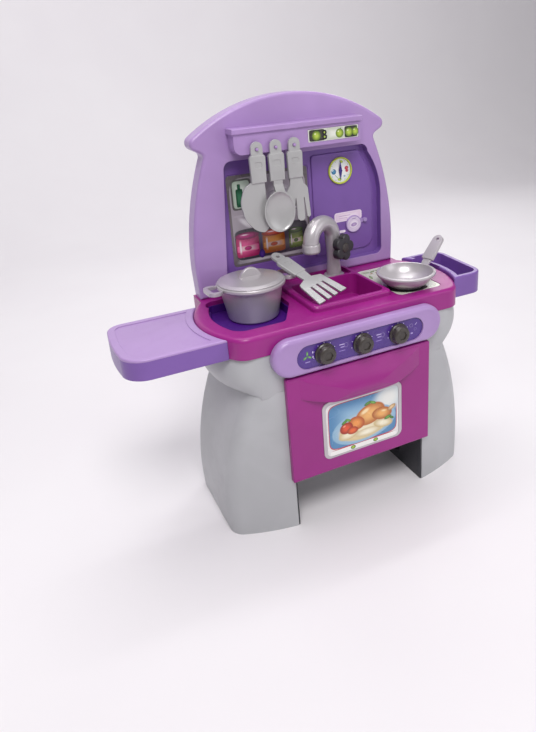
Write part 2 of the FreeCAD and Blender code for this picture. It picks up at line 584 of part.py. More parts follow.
def build_splashback():
    back = Piece("splashback")
    back.pad("XZ", "back_front", splashback_outline(), "back_thick")
    back.fillet("6", lies_at(y="back_front"))
    back.pocket("XZ", "back_front+5", splashback_outline("wall"), "back_thick-5")
    back.pad("XZ", "back_front+4", niche_outline("wall"), "back_deep-4+wall")
    back.pocket("XZ", "back_front-1", niche_outline(), "back_deep+1")
    niche_y = "(back_front+back_deep)"
    back.pocket("XZ", niche_y, rounded_rect("picture_x0-2", "picture_low-2", "picture_x1+2",
                                            "picture_high+2", "9"), "1")
    board = [("board_x0+6", "board_low"), ("board_x1-22", "board_low", "22", 1), ("board_x1", "board_low+22"),
             ("board_x1", "500", "140", 1), ("board_x1-24", "board_high-8", "8", 1),
             ("board_x1-32", "board_high"), ("board_x0+6", "board_high", "6", 1), ("board_x0", "board_high-6"),
             ("board_x0", "board_low+6", "6", 1)]
    back.pad("XZ", f"{niche_y}-board_out", board, "board_out")
    back.fillet("2", lies_at(y=f"{niche_y}-board_out"))
    back.pocket("XZ", f"{niche_y}-board_out", ("circle", "clock_x", "clock_z", "1.6"), "board_out+wall")
    for x, z in COVER_SCREWS:
        back.pad("XZ", "back_front+4", ("circle", x, z, "4.5"), "back_thick-4-2.5")
        back.pocket("XZ", "back_front+10", ("circle", x, z, "1.3"), "back_thick-12.5")
    for x in FOOT_SCREWS:
        back.pad("XY", "top_z+1", ("circle", x, "back_front+20", "4.5"), "14")
        back.pocket("XY", "top_z-1", ("circle", x, "back_front+20", "1.3"), "14")
    back.pocket("XZ", "back_front-1", rect("-118", "shelf_low+8", "118", "shelf_high-8"), "7")
    back.done()

    cover = Piece("splashback_cover")
    cover.pad("XZ", "back_front+back_thick-2.5", splashback_outline("wall+gap"), "2.5")
    for x, z in COVER_SCREWS:
        cover.pocket("XZ", "back_front+back_thick-2.5", ("circle", x, z, "1.7"), "2.5")
    cover.done()

    picture = Piece("window_sticker")
    picture.pad("XZ", f"{niche_y}+1-decal", rounded_rect("picture_x0", "picture_low", "picture_x1",
                                                         "picture_high", "7"), "decal")
    picture.done()

    board_y = f"({niche_y}-board_out)"
    labels = Piece("board_label")
    labels.pad("XZ", board_y + "-decal", rounded_rect("81", "474", "141", "492", "5"), "decal")
    labels.done()
    badge = Piece("board_badge")
    badge.pad("XZ", board_y + "-3", ("circle", "122", "466", "17"), "2.4")
    badge.fillet("1.5", lies_at(y=board_y + "-3"))
    badge.pad("XZ", board_y + "-4.5", ("circle", "147", "471", "4"), "4.5")
    badge.pad("XZ", board_y + "-2", rect("134", "467", "146", "474"), "2")
    badge.done()
    slots = Piece("board_slots")
    slots.pad("XZ", board_y + "-decal", rounded_rect("86", "452", "104", "457", "2.4"), "decal")
    slots.done()

    face = Piece("clock_face")
    face.revolve([("1.6", "0"), ("clock_radius-3.2", "0"), ("clock_radius-3.2", "1"), ("1.6", "1")])
    finish("clock_face", face.body, "clock_x", board_y, "clock_z", FRONTWARD)
    ring = Piece("clock_ring")
    ring.revolve([("clock_radius-3", "0"), ("clock_radius", "0"), ("clock_radius", "2.4", "2", 1),
                  ("clock_radius-2", "4"), ("clock_radius-3", "2.6")])
    finish("clock_ring", ring.body, "clock_x", board_y, "clock_z", FRONTWARD)
    hand = Piece("clock_hand")
    hand.revolve([("0", "-8"), ("1.5", "-8"), ("1.5", "3"), ("3.2", "3"), ("3.2", "4"), ("0", "4")])
    hand.pad("XY", "2", [("0", "-17"), ("3.4", "0"), ("0", "17"), ("-3.4", "0")], "1.1")
    finish("clock_hand", hand.body, "clock_x", board_y, "clock_z", FRONTWARD)


# ---------------------------------------------------------------- shelf and hanging tools
def build_shelf():
    shelf = Piece("tool_shelf")
    shelf.pad("XZ", "shelf_front", [("-shelf_half+14", "shelf_low"), ("shelf_half-4", "shelf_low", "4", 1),
                                    ("shelf_half", "shelf_low+4"), ("shelf_half", "shelf_high"),
                                    ("-shelf_half", "shelf_high"), ("-shelf_half", "shelf_low+14", "14", 1)],
              "back_front-shelf_front")
    shelf.pad("XZ", "shelf_front-3.5", rect("-shelf_half-3", "shelf_high-shelf_lip", "shelf_half+3",
                                            "shelf_high"), "back_front-shelf_front+3.5")
    shelf.fillet("1.6", lies_at(y="shelf_front-3.5"))
    shelf.pocket("XZ", "shelf_front+wall", rect("-shelf_half+wall+6", "shelf_low+wall", "shelf_half-wall",
                                                "shelf_high-wall"), "back_front-shelf_front-wall")
    shelf.pocket("XZ", "shelf_front-1", rounded_rect("15", "634", "117", "657", "2"), "2")
    for i in range(3):
        shelf.pad("XZ", "shelf_front-peg_long", ("circle", f"peg_x+{i}*peg_pitch", "peg_z", "peg_radius"),
                  "peg_long+1")
    shelf.fillet("1.8", lies_at(y="shelf_front-peg_long"))
    shelf.done()
    strip = Piece("shelf_sticker")
    strip.pad("XZ", "shelf_front+1-decal", rounded_rect("16", "635", "116", "656", "1.5"), "decal")
    strip.done()

    spots = {"spatula": "peg_x", "spoon": "peg_x+peg_pitch", "fork": "peg_x+2*peg_pitch"}
    builders = {"spatula": spatula_blade, "spoon": spoon_bowl, "fork": fork_blade}
    for name, x in spots.items():
        handle = tool_handle(name)
        whole = builders[name](name, handle)
        finish(name, whole, x, "hang_y", "peg_z", FRONTWARD)


def tool_handle(name, hole="peg_radius+0.5"):
    """A hanging tool's grip: local Y is up, the peg hole is at the origin and local Z faces the front."""
    half = "tool_handle/2"
    grip = Piece(name + "_grip")
    grip.pad("XY", "-tool_thick/2", [("-" + half + "+1", "-56"), (half + "-1", "-56"), (half, "-14"),
                                     (half + "-2", "-10"), ("-" + half + "+2", "-10"), ("-" + half, "-14")],
             "tool_thick")
    grip.fillet("1.4", lies_at(z="tool_thick/2"))
    grip.pad("XY", "-tool_thick/2+0.8", [("-10.5", "-16"), ("10.5", "-16"), ("10.5", "3", "10.55", 1),
                                         ("-10.5", "3")], "tool_thick-1.6")
    grip.pocket("XY", "-tool_thick", ("circle", "0", "0", hole), "tool_thick*2")
    grip.pocket("XY", "tool_thick/2-0.7", rounded_rect("-7", "-31", "7", "-21", "4"), "1")
    return grip


def spatula_blade(name, grip):
    grip.pad("XY", "-blade_thick*0.8", [("-15", "-54"), ("10", "-54"), ("12", "-130", "12", -1),
                                        ("2", "-142", "36", -1), ("-20", "-129", "44", -1),
                                        ("-33.5", "-100", "34", -1), ("-32", "-73", "22", -1),
                                        ("-20", "-57")], "blade_thick")
    return grip.body


def fork_blade(name, grip):
    grip.pad("XY", "-blade_thick*0.8", [("-20", "-128"), ("-14", "-132"), ("-8", "-128"), ("-3.2", "-92"),
                                      ("-1.8", "-92"), ("-1", "-128"), ("4", "-133"), ("10", "-133"),
                                      ("13.5", "-130"), ("12.5", "-92"), ("13.9", "-92"), ("18", "-126"),
                                      ("21", "-129"), ("25", "-126"), ("22", "-82", "14", 1),
                                      ("14", "-68"), ("11", "-54"), ("-11", "-54"), ("-12", "-68"),
                                      ("-22", "-84")], "blade_thick")
    return grip.body


def spoon_bowl(name, grip):
    """The bowl hangs in front of its neighbours, so the neck steps forward from the grip."""
    neck = prism(name + "_neck", [("-52", "-2"), ("-60", "-1.5"), ("-80", "5"), ("-84", "9"), ("-76", "10.4"),
                                  ("-62", "2.4"), ("-52", "2.4")], "-8.5", "8.5", "X")
    bowl = doc.addObject("Part::Ellipsoid", name + "_bowl_outside")
    bind(bowl, x="-4", y="-108", z="11.7", Radius1="9.5", Radius2="29.5", Radius3="36.5")
    scoop = doc.addObject("Part::Ellipsoid", name + "_bowl_inside")
    bind(scoop, x="-4", y="-108", z="12.3", Radius1="8", Radius2="27.7", Radius3="34.7")
    trim = box(name + "_bowl_trim", "-50", "-160", "10.4", "50", "-50", "40")
    return cut(name + "_whole", fuse(name + "_joined", grip.body, neck, bowl), scoop, trim)


# ---------------------------------------------------------------- control panel and oven door
def stadium(half, low, high):
    r = f"(({high}-({low}))/2)"
    bulge = r + "*1.001"
    return [(f"-{half}+{r}", low), (f"{half}-{r}", low, bulge, 1), (f"{half}-{r}", high),
            (f"-{half}+{r}", high, bulge, 1)]


def build_controls():
    fascia = Piece("control_panel")
    fascia.pad("XZ", "fascia_front", stadium("fascia_half", "fascia_low", "fascia_high"),
               "fascia_back-fascia_front")
    fascia.fillet("8", lies_at(y="fascia_front"))
    fascia.pocket("XZ", "fascia_front+wall+3", stadium("(fascia_half-wall)", "fascia_low+wall",
                                                       "fascia_high-wall"),
                  "fascia_back-fascia_front-wall-3")
    fascia.pocket("XZ", "fascia_front-1", stadium("scale_half", "scale_low", "scale_high"), "scale_deep+1")
    sticker = Piece("control_sticker")
    sticker.pad("XZ", "fascia_front+scale_deep-decal", stadium("(scale_half-0.5)", "scale_low+0.5",
                                                               "scale_high-0.5"), "decal")
    for i in (-1, 0, 1):
        fascia.pocket("XZ", "fascia_front-1", ("circle", f"{i}*knob_pitch", "knob_z", "shaft_radius+0.08"),
                      "12")
        sticker.pocket("XZ", "fascia_front-1", ("circle", f"{i}*knob_pitch", "knob_z", "shaft_radius+2"),
                       "12")
    fascia.done()
    sticker.done()
    face_y = "fascia_front+scale_deep-decal"
    for i, side in enumerate(["left", "middle", "right"]):
        x = f"({i}-1)*knob_pitch"
        knob = Piece("knob_" + side)
        knob.revolve([("0", "-8.5"), ("shaft_radius", "-8.5"), ("shaft_radius", "-5"),
                      ("shaft_radius-1", "-5"), ("shaft_radius-1", "-3.6"), ("shaft_radius", "-3.6"),
                      ("shaft_radius", "gap"), ("knob_radius", "gap"), ("knob_radius", "3.4"),
                      ("knob_radius-1.6", "5"), ("knob_tip+3", "knob_long-5", "9", 1),
                      ("knob_tip", "knob_long-3"), ("0", "knob_long-3")])
        knob.pocket("XY", "5.6", ("circle", "knob_radius+1.6", "0", "4.6"), "knob_long")
        knob.pattern(8)
        six = [(f"{8 * math.cos(math.radians(60 * k)):.3f}", f"{8 * math.sin(math.radians(60 * k)):.3f}")
               for k in range(6)]
        knob.pocket("XY", "knob_long-5", six, "4")
        finish("knob_" + side, knob.body, x, face_y, "knob_z", FRONTWARD)
        clip = Piece("knob_clip_" + side)
        clip.revolve([("shaft_radius-0.9", "-4.9"), ("shaft_radius+3", "-4.9"), ("shaft_radius+3", "-3.7"),
                      ("shaft_radius-0.9", "-3.7")])
        clip.pocket("XY", "-6", rect("-2", "0", "2", "12"), "4")
        finish("knob_clip_" + side, clip.body, x, face_y, "knob_z", FRONTWARD)

    rail = Piece("front_rail")
    rail.pad("XZ", "-127.5", rect("-leg_inner+panel_thick+gap", "299.5", "leg_inner-panel_thick-gap",
                                  "top_low-1"), "3")
    rail.pad("XY", "299.5", rect("-leg_inner+panel_thick+gap", "-127.5", "leg_inner-panel_thick-gap",
                                 "-112"), "2.5")
    rail.done()


def build_door():
    slab = prism("door_slab", rounded_rect("-door_half", "door_low", "door_half", "door_high", "4"),
                 "door_back-door_thick", "door_back", "Y")
    lens = prism("door_grip_lens", [("-grip_half", "257", "333", 1), ("grip_half", "257"),
                                    ("grip_half", "293"), ("-grip_half", "293")],
                 "door_back-40", "door_back-3", "Y")
    lens.Base.setExpression("Placement.Base.y", formula("door_back-40"))
    front = "(door_back-door_thick)"
    side = prism("door_grip_side", [(front + "+2", "230"), (front + "+2", "296"), (front, "293"),
                                    (front + "-grip_out*0.62", "276", "60", 1),
                                    (front + "-grip_out", "256", "28", 1),
                                    (front + "-grip_out*0.8", "244", "12", 1),
                                    (front, "234")], "-140", "140", "X")
    plan = prism("door_grip_plan", [("-grip_half", front, "grip_arc", 1), ("grip_half", front),
                                    ("grip_half", front + "+4"), ("-grip_half", front + "+4")],
                 "225", "300")
    grip = common("door_grip", common("door_grip_bulge", lens, side), plan)
    solid = fuse("door_solid", rounded("door_rounded", slab, "2.5", lies_at(y=front)), grip)
    hollow = prism("door_hollow", rounded_rect("-door_half+wall", "door_low+13", "door_half-wall",
                                               "door_high-wall", "3"),
                   front + "+wall", "door_back+1", "Y")
    lens_in = prism("door_grip_hollow_lens", [("-grip_half+16", "261", "333", 1), ("grip_half-16", "261"),
                                              ("grip_half-16", "288"), ("-grip_half+16", "288")],
                    "door_back-40", "door_back+1", "Y")
    plan_in = prism("door_grip_hollow_plan", [("-grip_half+16", front + "+2.5", "430", 1),
                                              ("grip_half-16", front + "+2.5"),
                                              ("grip_half-16", "door_back+1"),
                                              ("-grip_half+16", "door_back+1")], "230", "290")
    side_in = prism("door_grip_hollow_side", [(front + "+4", "244"), (front + "+4", "286"),
                                              (front + "+2", "284"),
                                              (front + "-grip_out*0.62+3", "272", "60", 1),
                                              (front + "-grip_out+3", "256", "28", 1),
                                              (front + "-grip_out*0.8+4", "249", "12", 1),
                                              (front + "+2", "246")], "-140", "140", "X")
    hinge_y, hinge_z = "(door_back-door_thick/2)", "(door_low+door_thick/2)"
    notches = [box(f"door_notch_{i}", f"{s}knuckle_x-knuckle_long/2-gap", f"{hinge_y}-knuckle_radius-0.3",
                   "door_low-1", f"{s}knuckle_x+knuckle_long/2+gap", "door_back+1",
                   f"{hinge_z}+knuckle_radius+0.5") for i, s in enumerate(["-", ""])]
    toe_block = box("door_toe_block", "-door_half-1", front + "-1", "door_low-1", "door_half+1",
                    "door_back+1", hinge_z)
    toe_round = cylinder("door_toe_round", "-door_half-2", hinge_y, hinge_z, "door_thick/2",
                         "2*door_half+4", "X")
    toe = cut("door_toe", toe_block, toe_round)
    bores = [cylinder(f"door_bore_{i}", f"{s}knuckle_x-20", hinge_y, hinge_z, "pin_radius+0.02", "40", "X")
             for i, s in enumerate(["-", ""])]
    window = prism("door_window_seat", rounded_rect("-window_x-0.3", "window_low-0.3", "window_x+0.3",
                                                    "window_high+0.3", "13.3"),
                   front + "-1", front + "+1.2", "Y")
    inside_grip = common("door_grip_hollow_deep", common("door_grip_hollow", lens_in, side_in), plan_in)
    shaped = cut("door_shaped", solid, hollow, inside_grip, window, toe, *notches, *bores)
    finish("oven_door", shaped)

    liner = Piece("door_liner")
    liner.pad("XZ", "door_back-1.6", rounded_rect("-door_half+wall+gap", "door_low+13+gap",
                                                  "door_half-wall-gap", "door_high-wall-gap", "3"), "1.6")
    liner.pad("XZ", "door_back-5.5", rect("-100", "150", "100", "153"), "4")
    liner.pad("XZ", "door_back-5.5", rect("-100", "230", "100", "233"), "4")
    liner.done()

    frame = Piece("window_frame")
    frame.pad("XZ", front + "-0.8", rounded_rect("-window_x", "window_low", "window_x", "window_high", "13"),
              "2")
    frame.fillet("0.7", lies_at(y=front + "-0.8"))
    frame.pocket("XZ", front + "-1", rounded_rect("-window_x+6.5", "window_low+3", "window_x-6.5",
                                                  "window_high-6.5", "9"), "1.6")
    frame.done()
    food = Piece("window_picture")
    food.pad("XZ", front + "+0.1", rounded_rect("-window_x+6.8", "window_low+3.3", "window_x-6.8",
                                                "window_high-6.8", "8.7"), "decal")
    food.done()

    pins = [cylinder(f"pin_{i}", f"{s}knuckle_x-18", hinge_y, hinge_z, "pin_radius", "36", "X")
            for i, s in enumerate(["-", ""])]
    finish("hinge_pins", gather("hinge_pins", *pins))


# ---------------------------------------------------------------- tap
def build_tap():
    base = Piece("tap_base")
    base.revolve([("6.5", "-22"), ("9.3", "-22"), ("9.3", "gap"), ("tap_flange", "gap"),
                  ("tap_flange", "2.4", "3", 1), ("tap_flange-2.5", "4.6"), ("6.5", "4.6")])
    finish("tap_base", base.body, "tap_x", "tap_y", "tap_ledge")
    nut = Piece("tap_nut")
    nut.pad("XY", "-19", [(f"{15 * math.cos(math.radians(60 * k)):.3f}",
                           f"{15 * math.sin(math.radians(60 * k)):.3f}") for k in range(6)], "6")
    nut.pocket("XY", "-20", ("circle", "0", "0", "9.35"), "10")
    finish("tap_nut", nut.body, "tap_x", "tap_y", "tap_ledge")

    post = Piece("tap_post")
    post.revolve([("0", "-24"), ("6.44", "-24"), ("6.44", "4.9"), ("14.2", "4.9"), ("14", "10"),
                  ("tap_column-0.6", "34"), ("tap_column", "52"), ("tap_pipe", "tap_straight"),
                  ("0", "tap_straight")])
    arch = doc.addObject("Part::Torus", "tap_arch")
    arch.Placement = FreeCAD.Placement(V(0, 0, 0), FreeCAD.Rotation(V(1, 0, 0), 90))
    bind(arch, x="-tap_reach/2", z="tap_straight", Radius1="tap_reach/2", Radius2="tap_pipe")
    arch.Angle3 = 180
    bore = cylinder("tap_bore", "0", "-tap_column-6", "tap_handle_z-tap_ledge", "4.08", "tap_column+10", "Y")
    mouth = cylinder("tap_mouth", "-tap_reach", "0", "tap_straight-1", "10", "14")
    spout = cut("tap_spout", fuse("tap_solid", post.body, arch), bore, mouth)
    finish("tap_spout", spout, "tap_x", "tap_y", "tap_ledge", TAP_TURN)

    nozzle = Piece("tap_nozzle")
    nozzle.revolve([("8", "-nozzle_long"), ("nozzle_radius-1.2", "-nozzle_long"),
                    ("nozzle_radius", "-nozzle_long+3"), ("nozzle_radius", "-3"), ("nozzle_radius-1", "-gap"),
                    ("9.9", "-gap"), ("9.9", "8"), ("8", "8")])
    finish("tap_nozzle", nozzle.body, "tap_x-tap_reach*cos(tap_turn*1 deg)",
           "tap_y-tap_reach*sin(tap_turn*1 deg)", "tap_ledge+tap_straight", TAP_TURN)

    wheel = Piece("tap_handle")
    wheel.revolve([("0", "3"), ("4", "3"), ("4", "19"), ("12", "19"), ("12", "19+petal_thick"),
                   ("0", "19+petal_thick")])
    wheel.pad("XY", "19", ("circle", "petal_pitch", "0", "petal_radius"), "petal_thick")
    wheel.pattern(5)
    wheel.fillet("3", lies_at(z="19+petal_thick"))
    wheel.pocket("XY", "19+petal_thick-1", ("circle", "0", "0", "9"), "2")
    finish("tap_handle", wheel.body, "tap_x", "tap_y", "tap_handle_z", TAP_FRONT)
    button = Piece("tap_button")
    button.revolve([("0", "18.2+petal_thick"), ("8.7", "18.2+petal_thick"), ("8.7", "19+petal_thick"),
                    ("7.4", "20.2+petal_thick"), ("0", "20.8+petal_thick")])
    finish("tap_button", button.body, "tap_x", "tap_y", "tap_handle_z", TAP_FRONT)


# ---------------------------------------------------------------- tray and basket
def build_tray():
    r = "(end_radius+gap)"

    def outline(inset="0"):
        i = f"({inset})"
        reach = f"({r}+{i})"
        front, back, outer = f"(tray_front+{i})", f"(tray_back-{i})", f"(-left_reach+3.3+{i})"
        edge = lambda y: f"(-end_centre_x-sqrt({reach}^2-({y}-end_centre_y)^2))"
        small, large = f"(26-{i})", f"(38-{i})"
        return [(edge(back), back), (f"{outer}+{small}", back, small + "*1.03", 1),
                (outer, f"{back}-{small}", "400", 1), (outer, f"{front}+{large}", large + "*1.03", 1),
                (f"{outer}+{large}", front), (edge(front), front, reach, -1)]
    skirt = prism("tray_skirt_solid", outline("0"), "tray_low", "tray_high-4")
    inside = prism("tray_skirt_inside", outline("wall"), "tray_low-1", "tray_high")
    finish("left_tray", cut("tray_skirt", skirt, inside))
    lid = prism("tray_top_solid", outline("0"), "tray_high-4+0.05", "tray_high")
    lid = rounded("tray_top_round", lid, "3", lies_at(z="tray_high"))
    well = prism("tray_well", outline("13"), "tray_high-1.4", "tray_high+1")
    rib = prism("tray_rib_solid", outline("wall+gap"), "tray_high-9", "tray_high-3")
    rib_in = prism("tray_rib_inside", outline("wall+gap+2"), "tray_high-10", "tray_high-3")
    finish("tray_top", cut("tray_top", fuse("tray_top_joined", lid, rib), well, rib_in))


def build_basket():
    r = "(end_radius+gap)"

    def outline(inset="0"):
        i = f"({inset})"
        reach = f"({r}+{i})"
        front, back, outer = f"(basket_front+{i})", f"(basket_back-{i})", f"(right_reach-{i})"
        edge = lambda y: f"(end_centre_x+sqrt({reach}^2-({y}-end_centre_y)^2))"
        corner = f"(28-{i})"
        return [(edge(front), front), (f"{outer}-9-{corner}", front, corner + "*1.03", 1),
                (f"{outer}-9", f"{front}+{corner}"), (outer, f"{back}-{corner}", corner + "*1.03", 1),
                (f"{outer}-{corner}", back), (edge(back), back, reach, -1)]
    solid = prism("basket_solid", outline(), "tray_low+2", "tray_high+7")
    solid = rounded("basket_round", solid, "3", lies_at(z="tray_high+7"))
    inside = prism("basket_inside", outline("basket_wall"), "basket_floor", "tray_high+8")
    dip = box("basket_dip_cut", "215", "-30", "tray_high-basket_dip", "243", "40", "tray_high+20")
    finish("right_basket", cut("basket", solid, inside, dip))


# ---------------------------------------------------------------- cookware
def handle_loop(name, x, z, reach, width, thick):
    """A flat loop standing out along +X: a rounded bar ring in plan."""
    outer = prism(name + "_outer", rounded_rect(f"({x})", f"-({width})/2", f"({x})+({reach})",
                                                f"({width})/2", "11"), z, f"({z})+({thick})")
    hole = prism(name + "_hole", rounded_rect(f"({x})-2", f"-({width})/2+7", f"({x})+({reach})-7",
                                              f"({width})/2-7", "5"), f"({z})-1", f"({z})+({thick})+1")
    return cut(name, outer, hole)


def build_pot():
    pot = Piece("pot_body")
    pot.revolve([("0", "0"), ("pot_base-6", "0", "6.1", 1), ("pot_base", "6"), ("pot_radius-1", "pot_high-8"),
                 ("pot_radius+3", "pot_high-7"), ("pot_radius+4", "pot_high-5"),
                 ("pot_radius+4", "pot_high-1.5"), ("pot_radius+2.5", "pot_high"),
                 ("pot_radius-2.5", "pot_high"), ("pot_base-3", "9"), ("pot_base-8", "pot_wall"),
                 ("0", "pot_wall")])
    loops = [handle_loop("pot_loop", "pot_radius+1.5", "pot_high-7.5", "25", "44", "6")]
    loops.append(mirrored("pot_loop_left", loops[0]))
    finish("pot", fuse("pot_whole", pot.body, *loops), "pot_x", "pot_y", "dish_floor+0.05", POT_TURN)

    lid = Piece("lid_disc")
    lid.revolve([("0", "6"), ("16", "5.6"), ("40", "3.4"), ("46", "2"), ("47", "-3"), ("48.6", "-3"),
                 ("49.2", "0.05"), ("pot_radius+1", "0.05"), ("pot_radius+1.6", "1.6"),
                 ("50", "4.4"), ("24", "7.8"), ("0", "8.6")])
    knob = prism("lid_knob", [("-21", "5"), ("21", "5"), ("21", "7"), ("18", "12", "20", 1),
                              ("-18", "12"), ("-21", "7")], "-4", "4", "Y")
    knob = rounded("lid_knob_round", knob, "2", lambda e: edge_box(e)[5] > 8)
    finish("pot_lid", fuse("lid_whole", lid.body, knob), "pot_x", "pot_y", "dish_floor+0.05+pot_high",
           POT_TURN)


def build_pan():
    pan = Piece("pan_body")
    pan.revolve([("0", "0"), ("pan_base-4", "0", "5", 1), ("pan_base", "3", "26", 1),
                 ("pan_radius-1", "pan_high-6"),
                 ("pan_radius+2.6", "pan_high-4.6"), ("pan_radius+3.4", "pan_high-3"),
                 ("pan_radius+3", "pan_high-0.6"), ("pan_radius+1.4", "pan_high"),
                 ("pan_radius-1.6", "pan_high", "34", -1), ("pan_base-1", "4.6"),
                 ("pan_base-5", "pot_wall"),
                 ("0", "pot_wall")])
    neck = slanted("pan_neck", [("0", "-7"), ("20", "-9"), ("20", "9"), ("0", "7")], "4")
    grip = slanted("pan_grip", [("16", "-12"), ("58", "-10.5", "10.6", 1), ("58", "10.5"), ("16", "12")],
                   "6")
    hole = slanted("pan_grip_hole", ("circle", "58", "0", "3.2"), "9", "-1")
    finish("pan", cut("pan_whole", fuse("pan_joined", pan.body, neck, grip), hole), "pan_x", "pan_y",
           "top_z-0.5+0.05", PAN_TURN)


def slanted(name, outline, thick, start="0"):
    """A plate that climbs at 45 degrees from the pan's rim; the outline's x runs up the slope."""
    sketch = doc.addObject("Sketcher::SketchObject", name + "_outline")
    draw(sketch, outline)
    doc.recompute()
    thing = doc.addObject("Part::Extrusion", name)
    thing.Base = sketch
    thing.DirMode = "Normal"
    thing.Solid = True
    bind(thing, LengthFwd=thick)
    thing.setExpression("Placement.Base.x", formula(f"pan_radius-sin(45)*({start})"))
    thing.setExpression("Placement.Base.z", formula(f"pan_high-6+cos(45)*({start})"))
    doc.recompute()
    thing.Placement.Rotation = FreeCAD.Rotation(V(0, 1, 0), -45)
    return thing


def build_server():
    """The slotted serving fork that leans from the sink's rim over the pot's handle."""
    grip = tool_handle("serving_fork", "3.4")
    half = "34"
    grip.pad("XY", "-blade_thick/2", [("-11", "-54"), ("-9", "-74"), ("-26", "-80"), ("-28", "-86"),
                                      ("-" + half, "-134"), (half, "-134"), ("28", "-86"), ("26", "-80"),
                                      ("9", "-74"), ("11", "-54")], "blade_thick")
    for i in (-1, 0, 1):
        grip.pocket("XY", "-blade_thick", [(f"{i}*16-3.4", "-135"), (f"{i}*16+3.4", "-135"),
                                           (f"{i}*14+2.2", "-95"), (f"{i}*14-2.2", "-95")],
                    "blade_thick*2")
    finish("serving_fork", grip.body, "-63.7", "35.9", "444.8", LEAN)


# ---------------------------------------------------------------- screws
def gather(name, *things):
    """Several separate solids kept together as one sub-part."""
    thing = doc.addObject("Part::Compound", name + "_group")
    thing.Links = list(things)
    doc.recompute()
    return thing


def screw(name, x, y, z, direction, length="10"):
    """A pan-head screw: the head's underside is at the given point and the shank runs along direction."""
    body = Piece(name)
    body.revolve([("0", f"-({length})"), ("0.5", f"-({length})"), ("1.25", f"-({length})+2"), ("1.25", "0"),
                  ("2.9", "0"), ("2.9", "1.1"), ("1.6", "2"), ("0", "2")])
    body.pocket("XY", "1.1", rect("-1.7", "-0.35", "1.7", "0.35"), "2")
    body.pocket("XY", "1.1", rect("-0.35", "-1.7", "0.35", "1.7"), "2")
    body.body.Placement = FreeCAD.Placement(V(0, 0, 0), direction)
    return bind(body.body, x=x, y=y, z=z)


def build_screws():
    rear = [screw(f"rear_screw_{s}{z}", f"{sign}(leg_inner+16)", "leg_back+wall", z, BACKWARD)
            for s, sign in (("l", "-"), ("r", "")) for z in ("120", "225", "325")]
    finish("rear_screws", gather("rear_screws", *rear))
    up = [screw(f"top_screw_{i}", x, y, "top_low-wall", DOWNWARD)
          for i, (x, y) in enumerate([("-leg_inner-38", "-95"), ("leg_inner+38", "-95"),
                                      ("-leg_inner-38", "62"), ("leg_inner+38", "62")])]
    finish("worktop_screws", gather("worktop_screws", *up))
    foot = [screw(f"foot_screw_{i}", x, "back_front+20", "top_z-wall-0.5", DOWNWARD, "14")
            for i, x in enumerate(FOOT_SCREWS)]
    finish("splashback_screws", gather("splashback_screws", *foot))
    cover = [screw(f"cover_screw_{i}", x, "back_front+back_thick", z, BACKWARD, "12")
             for i, (x, z) in enumerate(COVER_SCREWS)]
    finish("cover_screws", gather("cover_screws", *cover))


def build_all():
    build_cabinet()
    build_worktop()
    build_splashback()
    build_shelf()
    build_controls()
    build_door()
    build_tap()
    build_tray()
    build_basket()
    build_pot()
    build_pan()
    build_server()
    build_screws()


build_all()
doc.recompute()


# ---------------------------------------------------------------- check and write
def write_parts():
    broken = [o.Name for o in doc.Objects if "Invalid" in o.State or "Error" in o.State]
    if broken:
        raise RuntimeError(f"failed objects: {broken}")
    os.makedirs(OUT, exist_ok=True)
    for label, thing in finished.items():
        shape = thing.Shape
        if shape.isNull() or not shape.isValid() or not shape.Solids:
            raise RuntimeError(f"{label} has no valid solid")
        if shape.Volume <= 0:
            raise RuntimeError(f"{label} has no volume")
        shape.exportStep(os.path.join(OUT, label + ".step"))
        print(label, len(shape.Solids), round(shape.Volume / 1000, 2), "cm3")


write_parts()
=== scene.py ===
"""Looks, light and camera for the toy kitchen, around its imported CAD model."""
import math

import bpy
from mathutils import Matrix, Vector


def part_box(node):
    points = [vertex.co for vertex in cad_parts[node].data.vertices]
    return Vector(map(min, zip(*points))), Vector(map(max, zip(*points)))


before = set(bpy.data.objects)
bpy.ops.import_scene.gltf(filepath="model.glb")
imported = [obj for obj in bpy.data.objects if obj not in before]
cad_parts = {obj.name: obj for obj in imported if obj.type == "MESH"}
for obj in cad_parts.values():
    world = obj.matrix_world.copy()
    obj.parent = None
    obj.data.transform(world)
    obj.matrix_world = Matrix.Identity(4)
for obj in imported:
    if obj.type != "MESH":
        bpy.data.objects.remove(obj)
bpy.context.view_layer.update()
MM = 0.001
FLAT = 1e4              # a printed shape's scale across its thickness, so that depth doesn't count
CORNER_POWER = 8.0      # higher makes a printed box's corners squarer
BEVEL_SAMPLES = 4


# ---------------------------------------------------------------- node helpers
def linear(code):
    """A hexadecimal display colour as linear RGBA."""
    parts = [int(code[i:i + 2], 16) / 255 for i in (0, 2, 4)]
    return tuple(c / 12.92 if c <= 0.04045 else ((c + 0.055) / 1.055) ** 2.4 for c in parts) + (1.0,)


def scaled(colour, factor):
    """A colour made darker or lighter."""
    return tuple(min(c * factor, 1.0) for c in colour[:3]) + (1.0,)


